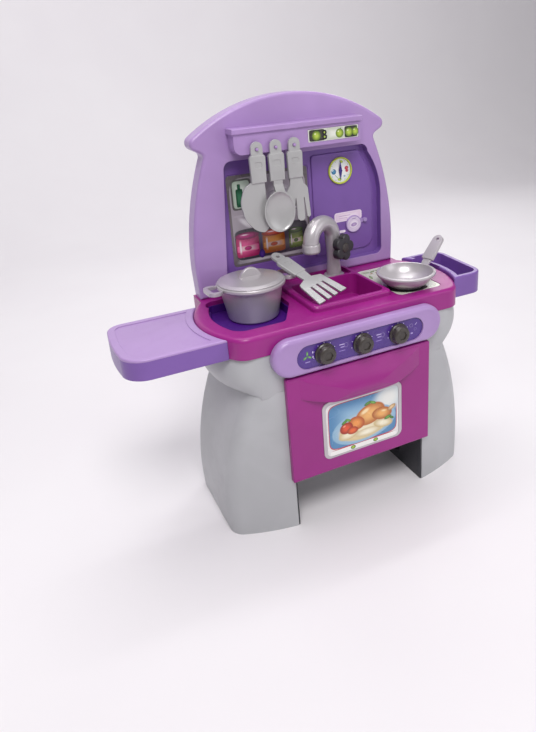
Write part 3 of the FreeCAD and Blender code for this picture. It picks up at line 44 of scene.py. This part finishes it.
class Graph:
    """A material's node tree, with short calls for the nodes used here."""

    def __init__(self, name):
        self.material = bpy.data.materials.new(name)
        self.material.use_nodes = True
        self.tree = self.material.node_tree
        self.tree.nodes.clear()
        self.coords = self.add("ShaderNodeTexCoord").outputs["Object"]

    def add(self, kind, **settings):
        node = self.tree.nodes.new(kind)
        for name, value in settings.items():
            setattr(node, name, value)
        return node

    def put(self, socket, value):
        if isinstance(value, bpy.types.NodeSocket):
            self.tree.links.new(value, socket)
        else:
            socket.default_value = value

    def math(self, operation, a, b=0.0):
        node = self.add("ShaderNodeMath", operation=operation)
        self.put(node.inputs[0], a)
        self.put(node.inputs[1], b)
        return node.outputs[0]

    def noise(self, scale, detail, roughness=0.5, distortion=0.0):
        node = self.add("ShaderNodeTexNoise")
        self.put(node.inputs["Vector"], self.coords)
        node.inputs["Scale"].default_value = scale
        node.inputs["Detail"].default_value = detail
        node.inputs["Roughness"].default_value = roughness
        node.inputs["Distortion"].default_value = distortion
        return node.outputs["Fac"]

    def spread(self, value, low, high):
        """Smoothly maps low..high to 0..1."""
        node = self.add("ShaderNodeMapRange", interpolation_type="SMOOTHSTEP")
        self.put(node.inputs["Value"], value)
        for name, number in (("From Min", low), ("From Max", high), ("To Min", 0.0), ("To Max", 1.0)):
            node.inputs[name].default_value = number
        return node.outputs["Result"]

    def mix(self, factor, a, b, mode="MIX"):
        node = self.add("ShaderNodeMix", data_type="RGBA", blend_type=mode)
        self.put(node.inputs["Factor"], factor)
        self.put(node.inputs["A"], a)
        self.put(node.inputs["B"], b)
        return next(o for o in node.outputs if o.type == "RGBA")

    def place(self, centre, radii, angle=0.0, plane="XZ"):
        """Object coordinates turned into a flat shape's own: the shape is where their length is 1."""
        node = self.add("ShaderNodeMapping", vector_type="TEXTURE")
        self.put(node.inputs["Vector"], self.coords)
        u, v = centre
        ru, rv = radii
        if plane == "XZ":
            node.inputs["Location"].default_value = (u, 0, v)
            node.inputs["Rotation"].default_value = (0, -math.radians(angle), 0)
            node.inputs["Scale"].default_value = (ru, FLAT, rv)
        else:
            node.inputs["Location"].default_value = (u, v, 0)
            node.inputs["Rotation"].default_value = (0, 0, math.radians(angle))
            node.inputs["Scale"].default_value = (ru, rv, FLAT)
        return node.outputs["Vector"]

    def reach(self, coords, square=False, plane="XZ"):
        """Distance from a shape's centre: round, or square with rounded corners."""
        if not square:
            node = self.add("ShaderNodeVectorMath", operation="LENGTH")
            self.put(node.inputs[0], coords)
            return node.outputs["Value"]
        parts = self.add("ShaderNodeSeparateXYZ")
        self.put(parts.inputs[0], coords)
        other = parts.outputs[2] if plane == "XZ" else parts.outputs[1]
        a = self.math("POWER", self.math("ABSOLUTE", parts.outputs[0]), CORNER_POWER)
        b = self.math("POWER", self.math("ABSOLUTE", other), CORNER_POWER)
        return self.math("POWER", self.math("ADD", a, b), 1 / CORNER_POWER)

    def bevel(self, radius):
        node = self.add("ShaderNodeBevel", samples=BEVEL_SAMPLES)
        node.inputs["Radius"].default_value = radius
        return node.outputs["Normal"]

    def edges(self, normal):
        """How far a bevelled normal leaves the true one: 0 on flat faces, 1 on sharp edges."""
        geometry = self.add("ShaderNodeNewGeometry")
        dot = self.add("ShaderNodeVectorMath", operation="DOT_PRODUCT")
        self.put(dot.inputs[0], normal)
        self.put(dot.inputs[1], geometry.outputs["Normal"])
        return self.spread(dot.outputs["Value"], 0.99, 0.80)

    def bump(self, height, distance, strength, normal=None):
        node = self.add("ShaderNodeBump")
        node.inputs["Strength"].default_value = strength
        node.inputs["Distance"].default_value = distance
        self.put(node.inputs["Height"], height)
        if normal is not None:
            self.put(node.inputs["Normal"], normal)
        return node.outputs["Normal"]

    def surface(self, colour, roughness, normal, **sockets):
        shader = self.add("ShaderNodeBsdfPrincipled")
        self.put(shader.inputs["Base Color"], colour)
        self.put(shader.inputs["Roughness"], roughness)
        self.put(shader.inputs["Normal"], normal)
        for name, value in sockets.items():
            shader.inputs[name.replace("_", " ")].default_value = value
        output = self.add("ShaderNodeOutputMaterial")
        self.tree.links.new(shader.outputs["BSDF"], output.inputs["Surface"])
        return self.material


# ---------------------------------------------------------------- moulded plastics
def plastic(name, code, roughness=0.34, round_edges=0.0009, peel=0.5, second=None, where=None,
            worn=0.10, scuff=1.0, **sockets):
    """Injection-moulded plastic: faint flow mottling, orange peel, scuffs and paler rubbed edges.

    The second colour, where there is one, is used where the given mask is 1.
    """
    g = Graph(name)
    base = linear(code)
    flow = g.spread(g.noise(7.0, 3.0, 0.55, 0.8), 0.30, 0.72)
    colour = g.mix(flow, scaled(base, 0.93), scaled(base, 1.05))
    if second:
        other = linear(second)
        colour = g.mix(where(g), colour, g.mix(flow, scaled(other, 0.93), scaled(other, 1.05)))
    normal = g.bevel(round_edges)
    rim = g.edges(normal)
    colour = g.mix(g.math("MULTIPLY", rim, worn), colour, scaled(base, 1.5))
    smudge = g.spread(g.noise(34.0, 5.0, 0.62, 1.6), 0.46, 0.70)
    scratch = g.spread(g.noise(160.0, 2.0, 0.5, 3.0), 0.60, 0.70)
    rough = g.math("ADD", g.math("MULTIPLY", smudge, 0.10 * scuff), roughness - 0.03)
    rough = g.math("ADD", rough, g.math("MULTIPLY", scratch, 0.05 * scuff))
    rough = g.math("ADD", rough, g.math("MULTIPLY", rim, 0.06))
    skin = g.math("ADD", g.math("MULTIPLY", g.noise(330.0, 1.0), 0.06), g.noise(26.0, 2.0))
    normal = g.bump(skin, 0.0006 * peel, 0.30, normal)
    return g.surface(colour, rough, normal, **sockets)


MIDDLE_X = 38.5 * MM            # the cabinet's middle in the row frame
NICHE_RIGHT = 0.1815            # from the middle, below the curve
NICHE_LEFT = 0.1525
NICHE_TOP = 0.6205
NICHE_FOOT = 0.3965
NICHE_CURVE_FROM = 0.510        # above this height the right side leans in
NICHE_LEAN = 3.33
NICHE_LEAN_START = 0.045
NICHE_DEPTHS = (1.2 * MM, 2.2 * MM)


def inside_niche(g):
    """The splashback's sunken middle, behind its front face, where the darker purple is painted as
    shade.
    """
    low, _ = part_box("splashback")
    parts = g.add("ShaderNodeSeparateXYZ")
    g.put(parts.inputs[0], g.coords)
    x, y, z = parts.outputs
    rise = g.math("MAXIMUM", g.math("SUBTRACT", z, NICHE_CURVE_FROM), 0.0)
    lean = g.math("SUBTRACT", g.math("MULTIPLY", g.math("MULTIPLY", rise, rise), NICHE_LEAN),
                  g.math("MULTIPLY", rise, NICHE_LEAN_START))
    right = g.math("LESS_THAN", g.math("ADD", x, lean), MIDDLE_X + NICHE_RIGHT)
    left = g.math("GREATER_THAN", x, MIDDLE_X - NICHE_LEFT)
    deep = g.spread(y, low[1] + NICHE_DEPTHS[0], low[1] + NICHE_DEPTHS[1])
    below_top = g.math("LESS_THAN", z, NICHE_TOP)
    above_foot = g.math("GREATER_THAN", z, NICHE_FOOT)
    result = g.math("MULTIPLY", g.math("MULTIPLY", left, right), deep)
    return g.math("MULTIPLY", result, g.math("MULTIPLY", below_top, above_foot))


LILAC = "AB8BC2"
# painted shade: the lilac darkened, for the tray's skirt, the basket and the splashback's sunken middle
SHADED_LILAC = "7A55A4"


def build_plastics():
    """Every plastic colour and the screws' steel; the purple is the lilac darkened as painted shade,
    and the dark grey is partly painted shade. The satin ones have a thin clear coat.
    """
    satin = {"Coat_Weight": 0.15, "Coat_Roughness": 0.2}
    glossy = {"Coat_Weight": 0.2, "Coat_Roughness": 0.2}
    made = {}
    made["lilac"] = plastic("lilac_plastic", LILAC, 0.34, 0.0012, **satin)
    # the sunken middle gets the darker purple: painted shade
    made["splashback"] = plastic("splashback_plastic", LILAC, 0.34, 0.0012,
                                 second=SHADED_LILAC, where=inside_niche, **satin)
    # the same purple, painted shade on the tray's skirt and the basket
    made["purple"] = plastic("purple_plastic", SHADED_LILAC, 0.35, 0.0012, **satin)
    made["deep"] = plastic("deep_purple_plastic", "4E1A85", 0.36, 0.0010)
    made["magenta"] = plastic("magenta_plastic", "98187F", 0.36, 0.0014, peel=0.35, worn=0.06,
                              Coat_Weight=0.12, Coat_Roughness=0.2)
    made["grey"] = plastic("leg_plastic", "B4B5B8", 0.42, 0.0012, peel=0.8, worn=0.05)
    # dark grey; on the inner panels, rear panel and oven floor it is partly their plastic and partly
    # painted shade of the hollow inside
    made["dark"] = plastic("inner_plastic", "34343A", 0.55, 0.0008, peel=0.9)
    made["silver"] = plastic("silver_plastic", "C4BFC3", 0.34, 0.0008, peel=0.10, worn=0.05,
                             scuff=0.3, Metallic=0.45, Coat_Weight=0.25, Coat_Roughness=0.18)
    made["pale"] = plastic("tool_plastic", "B8B8B8", 0.32, 0.0008, peel=0.15, worn=0.06,
                           scuff=0.5, Metallic=0.30, **glossy)
    made["charcoal"] = plastic("charcoal_plastic", "343236", 0.38, 0.0010)
    made["olive"] = plastic("knob_plastic", "3D3733", 0.36, 0.0010, **glossy)
    made["lime"] = plastic("clock_rim_plastic", "C3CF4A", 0.25, 0.0006)
    made["hand"] = plastic("clock_hand_plastic", "3A2A80", 0.30, 0.0003)
    made["steel"] = plastic("screw_steel", "8E9094", 0.30, 0.0002, peel=0.2, Metallic=1.0)
    return made


# ---------------------------------------------------------------- printed stickers
INK_GRAIN = 0.10
FILM_ROUGHNESS = 0.22
RING_HOLE = 0.80        # a ring's inner edge, as a share of its outer one
RIM_SHADE_FROM = 0.15   # where the colour starts to turn into the rim's
MID_GREY = (0.5, 0.5, 0.5, 1.0)


def sticker(name, node, base, shapes, plane="XZ"):
    """A glossy printed film. Shapes are painted in order, in millimetres from the sticker's middle.

    Each is (kind, u, v, half width, half height, angle, colour, colour at the rim or None, softness).
    """
    g = Graph(name)
    low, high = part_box(node)
    middle = (low + high) / 2
    across = 2 if plane == "XZ" else 1
    ink = g.noise(900.0, 2.0)
    colour = g.mix(g.spread(g.noise(40.0, 3.0), 0.3, 0.7), scaled(linear(base), 0.94),
                   scaled(linear(base), 1.04))
    for kind, u, v, half_u, half_v, angle, inner, rim, soft in shapes:
        centre = (middle[0] + u * MM, middle[across] + v * MM)
        coords = g.place(centre, (half_u * MM, half_v * MM), angle, plane)
        distance = g.reach(coords, kind == "box", plane)
        tone = linear(inner)
        if rim:
            tone = g.mix(g.spread(distance, RIM_SHADE_FROM, 1.0), tone, linear(rim))
        mask = g.spread(distance, 1.0, 1.0 - soft)
        if kind == "ring":
            mask = g.math("MULTIPLY", mask, g.spread(distance, RING_HOLE, RING_HOLE + soft))
        colour = g.mix(mask, colour, tone)
    colour = g.mix(g.math("MULTIPLY", ink, INK_GRAIN), colour, MID_GREY, "SOFT_LIGHT")
    smudge = g.spread(g.noise(30.0, 4.0, 0.6, 1.0), 0.45, 0.7)
    rough = g.math("ADD", g.math("MULTIPLY", smudge, 0.12), FILM_ROUGHNESS)
    normal = g.bump(g.noise(60.0, 2.0), 0.0002, 0.3)
    return g.surface(colour, rough, normal, Coat_Weight=0.3, Coat_Roughness=0.12)


def food_shapes():
    """A roast with trimmings on a blue and white plate, over a white strip with two green dots."""
    return [
        ("box", 0, 4, 69.5, 45.5, 0, "B8283C", None, 0.02),
        ("box", 0, 4, 68, 44, 0, "9FC4DC", "4F86B4", 0.02),
        ("oval", 52, 30, 40, 34, 20, "E7E9E4", "B9CCD6", 0.5),
        ("oval", 2, -8, 66, 34, 4, "F2F3EE", "8FB6D0", 0.05),
        ("oval", 4, -10, 56, 27, 4, "EFE4C4", "D9C391", 0.12),
        ("oval", -30, -18, 22, 11, 8, "F3EBCF", "CDB684", 0.2),
        ("oval", 8, -24, 30, 9, 0, "F5EFD8", "D0BB8C", 0.25),
        ("oval", 40, -16, 22, 10, -12, "F4ECD2", "C9B079", 0.2),
        ("oval", 14, 10, 32, 21, 14, "F0B66C", "B5642A", 0.10),
        ("oval", 4, 18, 16, 7, 24, "FBE0AE", "E39B4E", 0.7),
        ("oval", 38, 4, 22, 13, -8, "EDAE62", "A95A25", 0.12),
        ("oval", 42, 8, 10, 4, -8, "FAD9A0", "E09A50", 0.8),
        ("oval", 58, 10, 10, 5, 26, "E8C99A", "A97643", 0.2),
        ("oval", -14, 0, 18, 14, -20, "EE9A4C", "B04E20", 0.12),
        ("oval", -34, -4, 14, 12, 10, "E2532C", "8F2414", 0.14),
        ("oval", -38, 1, 5, 3, 20, "F8A582", "E2532C", 0.8),
        ("oval", -22, -12, 12, 8, 0, "E8672F", "9E3517", 0.16),
        ("oval", -37, 9, 8, 3.4, 30, "5E9A3A", "2F5E22", 0.3),
        ("oval", -30, 11, 7, 3, -28, "76B04A", "3C6E28", 0.3),
        ("oval", 10, 32, 9, 3.6, 18, "5C9440", "2E5A24", 0.3),
        ("oval", 20, 31, 8, 3.2, -24, "7CB354", "3C6E28", 0.3),
        ("oval", 50, -8, 9, 4, 14, "6EA548", "356425", 0.3),
        ("oval", 58, -11, 6, 3, -30, "4E8A3A", "2A521F", 0.3),
        ("box", 0, -46.2, 68, 4.4, 0, "F3F1EE", None, 0.03),
        ("box", 0, -41.4, 68, 0.7, 0, "B8283C", None, 0.2),
        ("oval", -22, -46.2, 5.2, 3.9, 0, "A8C83E", "3F6B1E", 0.1),
        ("oval", 24, -46.2, 5.2, 3.9, 0, "A8C83E", "3F6B1E", 0.1),
    ]


def jar(u, v, half, tall, glass, shade, lid, lid_shade):
    """A preserve jar: body, label band, highlight and lid."""
    return [
        ("box", u, v, half, tall, 0, glass, shade, 0.06),
        ("box", u, v - tall * 0.15, half * 0.96, tall * 0.32, 0, "F0D9DC", glass, 0.1),
        ("oval", u, v - tall * 0.15, half * 0.35, tall * 0.22, 0, lid, shade, 0.2),
        ("box", u - half * 0.62, v, half * 0.10, tall * 0.75, 0, "F7F1F4", None, 0.7),
        ("oval", u, v + tall * 1.02, half * 1.05, tall * 0.34, 0, lid, lid_shade, 0.08),
        ("oval", u - half * 0.2, v + tall * 1.12, half * 0.6, tall * 0.12, 0, "FFE9F4", lid, 0.9),
    ]


def window_shapes():
    """A cupboard behind a window: three jars and a hanging spoon below, bottles and plates above."""
    shapes = [
        ("box", 0, 0, 78, 81, 0, "6B6367", None, 0.012),
        ("box", 0, 0, 75, 78, 0, "CFC9CE", "A79FA8", 0.012),
        ("box", -52, 48, 20, 28, 0, "8F8F8C", "5B5C59", 0.05),
        ("box", -52, 48, 16.5, 24.5, 0, "DCE6DC", "AEBFAE", 0.04),
        ("box", -56, 42, 7, 17, 0, "3E7A58", "1E4A34", 0.10),
        ("box", -56, 62, 3, 5, 0, "2C5F44", "1B4630", 0.1),
        ("box", -44, 38, 4.6, 13, 0, "B7C86A", "6F8A38", 0.12),
        ("box", 56, 40, 14, 34, 0, "7C767C", "4C474E", 0.05),
        ("oval", 20, 46, 22, 12, 0, "F4F1F2", "BDB7BF", 0.05),
        ("oval", 20, 40, 24, 9, 0, "E9E6EA", "B3ADB8", 0.05),
        ("box", 0, 10, 75, 2.2, 0, "F2F0F2", "B0A8B2", 0.1),
        ("oval", -46, -6, 26, 8, -38, "F6F4F6", "C0BAC4", 0.5),
        ("oval", 10, -4, 34, 9, 14, "EDEAEE", "BDB6C2", 0.6),
        ("box", 0, -44, 75, 30, 0, "5C5560", "3A3440", 0.05),
        ("box", 0, -75.5, 75, 3.5, 0, "D9D5D8", "8F8892", 0.1),
    ]
    shapes += jar(-49, -48, 23, 20, "E85C9A", "A81E5C", "C42B84", "7A1450")
    shapes += jar(3, -49, 23, 19, "F0A236", "B0581A", "D9482C", "8E2412")
    shapes += jar(48, -50, 15, 17, "8FA44A", "46581F", "5E7A3A", "2E431B")
    shapes += [
        ("box", -22.5, -30, 0.7, 44, 0, "4A2C80", None, 0.5),
        ("oval", -22.5, -66, 6.2, 8.6, 0, "5A36A0", "341C6E", 0.08),
    ]
    return shapes


def strip_shapes():
    """Green fruit on dark and white tiles beside a plain digit."""
    shapes = [
        ("box", -33, 0, 15.5, 10, 0, "4B4A3C", "2F2E26", 0.05),
        ("box", 2, 0, 19, 10, 0, "E3E6DC", "C0C6B4", 0.04),
        ("box", 35, 0, 13.5, 10, 0, "3A3A32", "26261F", 0.05),
    ]
    for u, size in ((-34, 8.6), (12, 8.2), (31, 8.0), (44, 7.2)):
        shapes.append(("oval", u, -0.6, size, size, 0, "B5CC4E", "5E7A22", 0.08))
        shapes.append(("oval", u - 2.4, 2.6, size * 0.36, size * 0.26, 20, "F2F6CE", "B5CC4E", 0.9))
        shapes.append(("oval", u + 2.0, 7.0, 2.4, 1.1, 40, "3E6A20", None, 0.4))
    shapes += [
        ("oval", -18, 3.6, 4.6, 4.8, 0, "141414", None, 0.10),
        ("oval", -18, -4.0, 5.2, 5.2, 0, "141414", None, 0.10),
        ("oval", -18, 3.6, 1.7, 1.8, 0, "A9C04A", None, 0.2),
        ("oval", -18, -4.0, 2.0, 2.0, 0, "A9C04A", None, 0.2),
    ]
    return shapes


def control_shapes(pitch):
    """A dark patch and an arc of dots at each knob, and small plain symbols beside them."""
    shapes = []
    knob_v = -1
    dot_step = 34
    for i in (-1, 0, 1):
        centre = i * pitch
        shapes.append(("oval", centre, knob_v, 21.5, 19.6, 0, "33196A", "4A2B88", 0.10))
        for k in range(-3, 4):
            angle = math.radians(90 - dot_step * k)
            u, v = centre + 20.2 * math.cos(angle), knob_v + 18.6 * math.sin(angle)
            shapes.append(("oval", u, v, 0.9, 0.9, 0, "D9CBF2", None, 0.3))
    for u in (pitch / 2 - 3, -pitch / 2 - 3):
        shapes.append(("box", u, 6, 5.5, 0.9, 0, "CDBDEB", None, 0.3))
        shapes.append(("box", u + 1, 1.4, 4.2, 0.9, 0, "B7A3E0", None, 0.3))
        shapes.append(("ring", u + 8, 3.6, 3.6, 4.2, 0, "CDBDEB", None, 0.15))
        shapes.append(("box", u, -5, 6.5, 0.7, 0, "9C84CE", None, 0.3))
    blade = 4.6
    for k in range(3):
        angle = math.radians(90 + 120 * k)
        u, v = -1.44 * pitch + blade * math.cos(angle), 1 + blade * math.sin(angle)
        shapes.append(("oval", u, v, blade, 2.0, math.degrees(angle), "7FB46A", "3E7A3A", 0.2))
    shapes += [
        ("box", -1.30 * pitch, 6, 1.1, 2.0, 0, "D9CBF2", None, 0.3),
        ("box", -1.30 * pitch, -2, 1.1, 2.0, 0, "D9CBF2", None, 0.3),
        ("box", -1.44 * pitch, -9, 5.0, 0.8, 0, "B7A3E0", None, 0.3),
        ("ring", 1.38 * pitch, 6.5, 3.4, 3.4, 0, "D9CBF2", None, 0.15),
        ("ring", 1.50 * pitch, -1.5, 2.8, 2.8, 0, "CDBDEB", None, 0.15),
        ("oval", 1.40 * pitch, -8, 2.6, 1.6, 0, "B7A3E0", None, 0.3),
        ("box", 1.52 * pitch, 8, 2.6, 0.7, 45, "CDBDEB", None, 0.3),
    ]
    return shapes


def clock_shapes():
    """A pale dial with small coloured marks and a dot at each hour."""
    shapes = [
        ("oval", 0, 0, 21.5, 21.5, 0, "F6F7F4", "DDE1E2", 0.02),
        ("oval", -13.5, -1, 5.2, 5.2, 0, "4D8FB8", "2D6A94", 0.1),
        ("oval", -15.5, 1.5, 2.6, 1.4, 30, "D6ECF6", None, 0.5),
        ("oval", 13.6, 3.6, 4.2, 3.6, 20, "D94A5E", "A32238", 0.12),
        ("oval", 14.4, -1.6, 3.4, 3.0, 0, "C03850", None, 0.15),
        ("oval", 3, 16.2, 3.8, 2.6, -20, "B8CE4A", "7A9A2A", 0.15),
        ("oval", -2, -16.2, 4.2, 2.8, 0, "C9D84E", "8AA82E", 0.15),
        ("box", -8.5, -10, 4.6, 0.7, -46, "7FA6C4", None, 0.3),
        ("box", -6.5, -12.2, 4.6, 0.7, -46, "88B878", None, 0.3),
        ("oval", 9, -11, 2.6, 2.2, 0, "8FB2C8", None, 0.3),
    ]
    dots_at = 19.4
    for k in range(12):
        angle = math.radians(30 * k)
        u, v = dots_at * math.cos(angle), dots_at * math.sin(angle)
        shapes.append(("oval", u, v, 0.8, 0.8, 0, "6A6A78", None, 0.3))
    return shapes


def hob_shapes(pan):
    """Two dark burners, one of them where the pan stands, and a leafy border."""
    u, v = pan
    shapes = [
        ("box", 0, 0, 43.4, 71.4, 0, "B9C4A0", None, 0.012),
        ("box", 0, 0, 42.0, 70.0, 0, "E2E3D9", "CFD3C2", 0.012),
    ]
    for k in range(5):
        lean = 28 if k % 2 else -28
        shapes.append(("oval", -30 + 14 * k, 62, 8.0, 3.0, lean, "8FA86A", "5C7A3E", 0.2))
        shapes.append(("oval", -24 + 13 * k, 52, 5.0, 2.2, -lean, "B79A6A", "8A6A42", 0.25))
    for side in (-1, 1):
        shapes.append(("oval", side * 36, 34, 3.0, 10, side * 12, "9CB27A", "5F7D44", 0.2))
    shapes += [
        ("oval", 2, 24, 26, 20, 0, "3A3A3C", "1F1F21", 0.03),
        ("oval", 2, 24, 22, 17, 0, "6C6A66", "2A2A2C", 0.05),
        ("ring", 2, 24, 15, 11.5, 0, "B85A3A", None, 0.12),
        ("oval", u, v, 42, 40, 0, "2B2B2D", "141416", 0.03),
        ("ring", u, v, 34, 32, 0, "6A6866", None, 0.06),
        ("ring", u, v, 22, 21, 0, "B85A3A", None, 0.10),
    ]
    return shapes


def label_shapes():
    """A pale plate with two plain bars in place of words."""
    return [("box", 0, 0, 28.4, 7.6, 0, "F4E6F2", "E6CFE6", 0.05),
            ("box", -8, 1.8, 15, 0.9, 0, "C9A6D2", None, 0.3),
            ("box", -11, -2.4, 11, 0.9, 0, "D6B8DC", None, 0.3)]


def badge_shapes():
    """A pale round badge with a plain oval and a bar on it, beside its small ear."""
    return [("oval", -6, 0, 15.2, 15.2, 0, "F0E6F4", "D8C6E2", 0.04),
            ("ring", -6, 0, 12.5, 9.0, 8, "7E5AA0", None, 0.2),
            ("oval", -6, -1, 7.0, 4.0, 8, "C3AAD4", "9B7CB8", 0.2),
            ("box", -6, 10.5, 6.0, 0.7, 4, "7E5AA0", None, 0.3)]


def build_prints():
    """The printed films. Burner and dots are set from where the pan and the knobs are."""
    made = {}
    pan_low, pan_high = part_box("pan")
    hob_low, hob_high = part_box("hob_sticker")
    pan_radius = (pan_high[1] - pan_low[1]) / 2
    pan_u = (pan_low[0] + pan_radius - (hob_low[0] + hob_high[0]) / 2) / MM
    pan_v = ((pan_low[1] + pan_high[1]) / 2 - (hob_low[1] + hob_high[1]) / 2) / MM
    left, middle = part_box("knob_left"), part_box("knob_middle")
    pitch = (middle[0][0] - left[0][0]) / MM
    made["food"] = sticker("food_print", "window_picture", "E9E6E6", food_shapes())
    made["window"] = sticker("window_print", "window_sticker", "6B6367", window_shapes())
    made["strip"] = sticker("shelf_print", "shelf_sticker", "D9DCD0", strip_shapes())
    made["control"] = sticker("control_print", "control_sticker", "4B2A86", control_shapes(pitch))
    made["clock"] = sticker("clock_print", "clock_face", "E8EAEA", clock_shapes())
    made["hob"] = sticker("hob_print", "hob_sticker", "DCDDD2", hob_shapes((pan_u, pan_v)), "XY")
    made["label"] = sticker("label_print", "board_label", "F0DFF0", label_shapes())
    made["badge"] = sticker("badge_plastic", "board_badge", "A98FC6", badge_shapes())
    made["slots"] = sticker("slot_print", "board_slots", "F2E6F4", [])
    return made


NODE_LOOKS = {
    "splashback": "splashback", "splashback_cover": "lilac", "control_panel": "lilac",
    # the tray is one purple-lilac part: its top is painted as lit lilac, its skirt and the basket as
    # shaded purple
    "tray_top": "lilac", "tool_shelf": "lilac",
    "left_tray": "purple", "right_basket": "purple", "pot_dish": "deep",
    "worktop": "magenta", "oven_door": "magenta", "door_liner": "magenta",
    "left_leg": "grey", "right_leg": "grey",
    # the hollow's panels: dark grey, partly painted shade
    "left_inner_panel": "dark", "right_inner_panel": "dark", "rear_panel": "dark", "oven_floor": "dark",
    "front_rail": "dark", "tap_nut": "dark",
    "tap_base": "silver", "tap_spout": "silver", "tap_nozzle": "silver", "pot": "silver",
    "pot_lid": "silver", "pan": "silver", "window_frame": "silver",
    "serving_fork": "pale", "spatula": "pale", "spoon": "pale", "fork": "pale",
    "tap_handle": "charcoal", "tap_button": "olive", "knob_left": "olive", "knob_middle": "olive",
    "knob_right": "olive",
    "clock_ring": "lime", "clock_hand": "hand", "board_badge": "badge",
    "window_picture": "food", "window_sticker": "window", "shelf_sticker": "strip",
    "control_sticker": "control", "clock_face": "clock", "hob_sticker": "hob", "board_label": "label",
    "board_slots": "slots",
}


def dress(looks):
    """Every CAD node gets its material; what isn't named is a screw, pin or clip."""
    for name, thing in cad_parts.items():
        material = looks[NODE_LOOKS.get(name, "steel")]
        thing.data.materials.clear()
        thing.data.materials.append(material)


# ---------------------------------------------------------------- studio
def floor_and_backdrop():
    """A pale floor that sweeps up behind the toy."""
    half, front, depth, height, bend = 4.0, -4.0, 3.2, 3.4, 1.2
    steps = 12
    profile = [(front, 0.0), (depth - bend, 0.0)]
    for k in range(1, steps + 1):
        angle = math.radians(90 * k / steps)
        profile.append((depth - bend + bend * math.sin(angle), bend - bend * math.cos(angle)))
    profile.append((depth, height))
    points = []
    for side in (-half, half):
        points += [(side, y, z) for y, z in profile]
    count = len(profile)
    faces = [(i, i + count, i + count + 1, i + 1) for i in range(count - 1)]
    mesh = bpy.data.meshes.new("studio_sweep")
    mesh.from_pydata(points, [], faces)
    for face in mesh.polygons:
        face.use_smooth = True
    sweep = bpy.data.objects.new("studio_sweep", mesh)
    bpy.context.scene.collection.objects.link(sweep)
    g = Graph("studio_paper")
    tone = g.mix(g.noise(3.0, 2.0), linear("E9E5E9"), linear("EEEBEE"))
    sweep.data.materials.append(g.surface(tone, 0.75, g.bump(g.noise(300.0, 2.0), 0.0003, 0.2)))


def area_light(name, position, target, size, power, colour=(1.0, 1.0, 1.0)):
    """A rectangular light, size as width and height in metres, turned to its target."""
    data = bpy.data.lights.new(name, "AREA")
    data.shape = "RECTANGLE"
    data.size, data.size_y = size
    data.energy = power
    data.color = colour
    light = bpy.data.objects.new(name, data)
    light.location = position
    light.rotation_euler = (Vector(target) - Vector(position)).to_track_quat("-Z", "Y").to_euler()
    bpy.context.scene.collection.objects.link(light)


def lights():
    """A soft key from the left front, weaker lights around the toy, and one on the backdrop."""
    middle = (0.0, 0.0, 0.40)
    area_light("key", (-0.5, -1.5, 2.5), middle, (1.2, 1.0), 44.0, (1.0, 0.985, 0.975))
    area_light("fill", (1.7, -1.9, 1.2), middle, (1.5, 1.5), 9.0, (0.98, 0.98, 1.0))
    area_light("top", (0.1, 0.3, 2.4), middle, (1.6, 1.2), 12.0)
    area_light("rim", (1.6, 1.6, 1.6), middle, (1.0, 1.4), 8.0)
    area_light("backdrop", (0.0, 0.9, 3.1), (0.0, 3.2, 1.2), (3.0, 0.5), 36.0)
    world = bpy.data.worlds.new("studio_world")
    world.use_nodes = True
    background = world.node_tree.nodes["Background"]
    background.inputs["Color"].default_value = (0.93, 0.92, 0.95, 1.0)
    background.inputs["Strength"].default_value = 0.36
    bpy.context.scene.world = world
    bpy.context.scene.view_settings.view_transform = "Standard"


CAMERA_ANGLES = (-23.79, 22.01, -4.09)          # azimuth, elevation and roll, in degrees
CAMERA_TARGET = (-0.00995, 0.02375, 0.34948)
CAMERA_DISTANCE = 1.1179


def camera():
    """Looks down from the toy's left front, rolled a little as in a product shot."""
    azimuth, elevation, roll = (math.radians(a) for a in CAMERA_ANGLES)
    back = Vector((math.sin(azimuth) * math.cos(elevation), -math.cos(azimuth) * math.cos(elevation),
                   math.sin(elevation)))
    right = (-back).cross(Vector((0, 0, 1))).normalized()
    up = right.cross(-back)
    tilted_right = right * math.cos(roll) + up * math.sin(roll)
    tilted_up = up * math.cos(roll) - right * math.sin(roll)
    place = Matrix((tilted_right, tilted_up, back)).transposed().to_4x4()
    place.translation = Vector(CAMERA_TARGET) + back * CAMERA_DISTANCE
    data = bpy.data.cameras.new("camera")
    data.sensor_width = 36.0
    data.lens = 30.463
    data.shift_x = -0.0404
    data.shift_y = -0.0746
    eye = bpy.data.objects.new("camera", data)
    eye.matrix_world = place
    bpy.context.scene.collection.objects.link(eye)
    bpy.context.scene.camera = eye


dress({**build_plastics(), **build_prints()})
floor_and_backdrop()
lights()
camera()
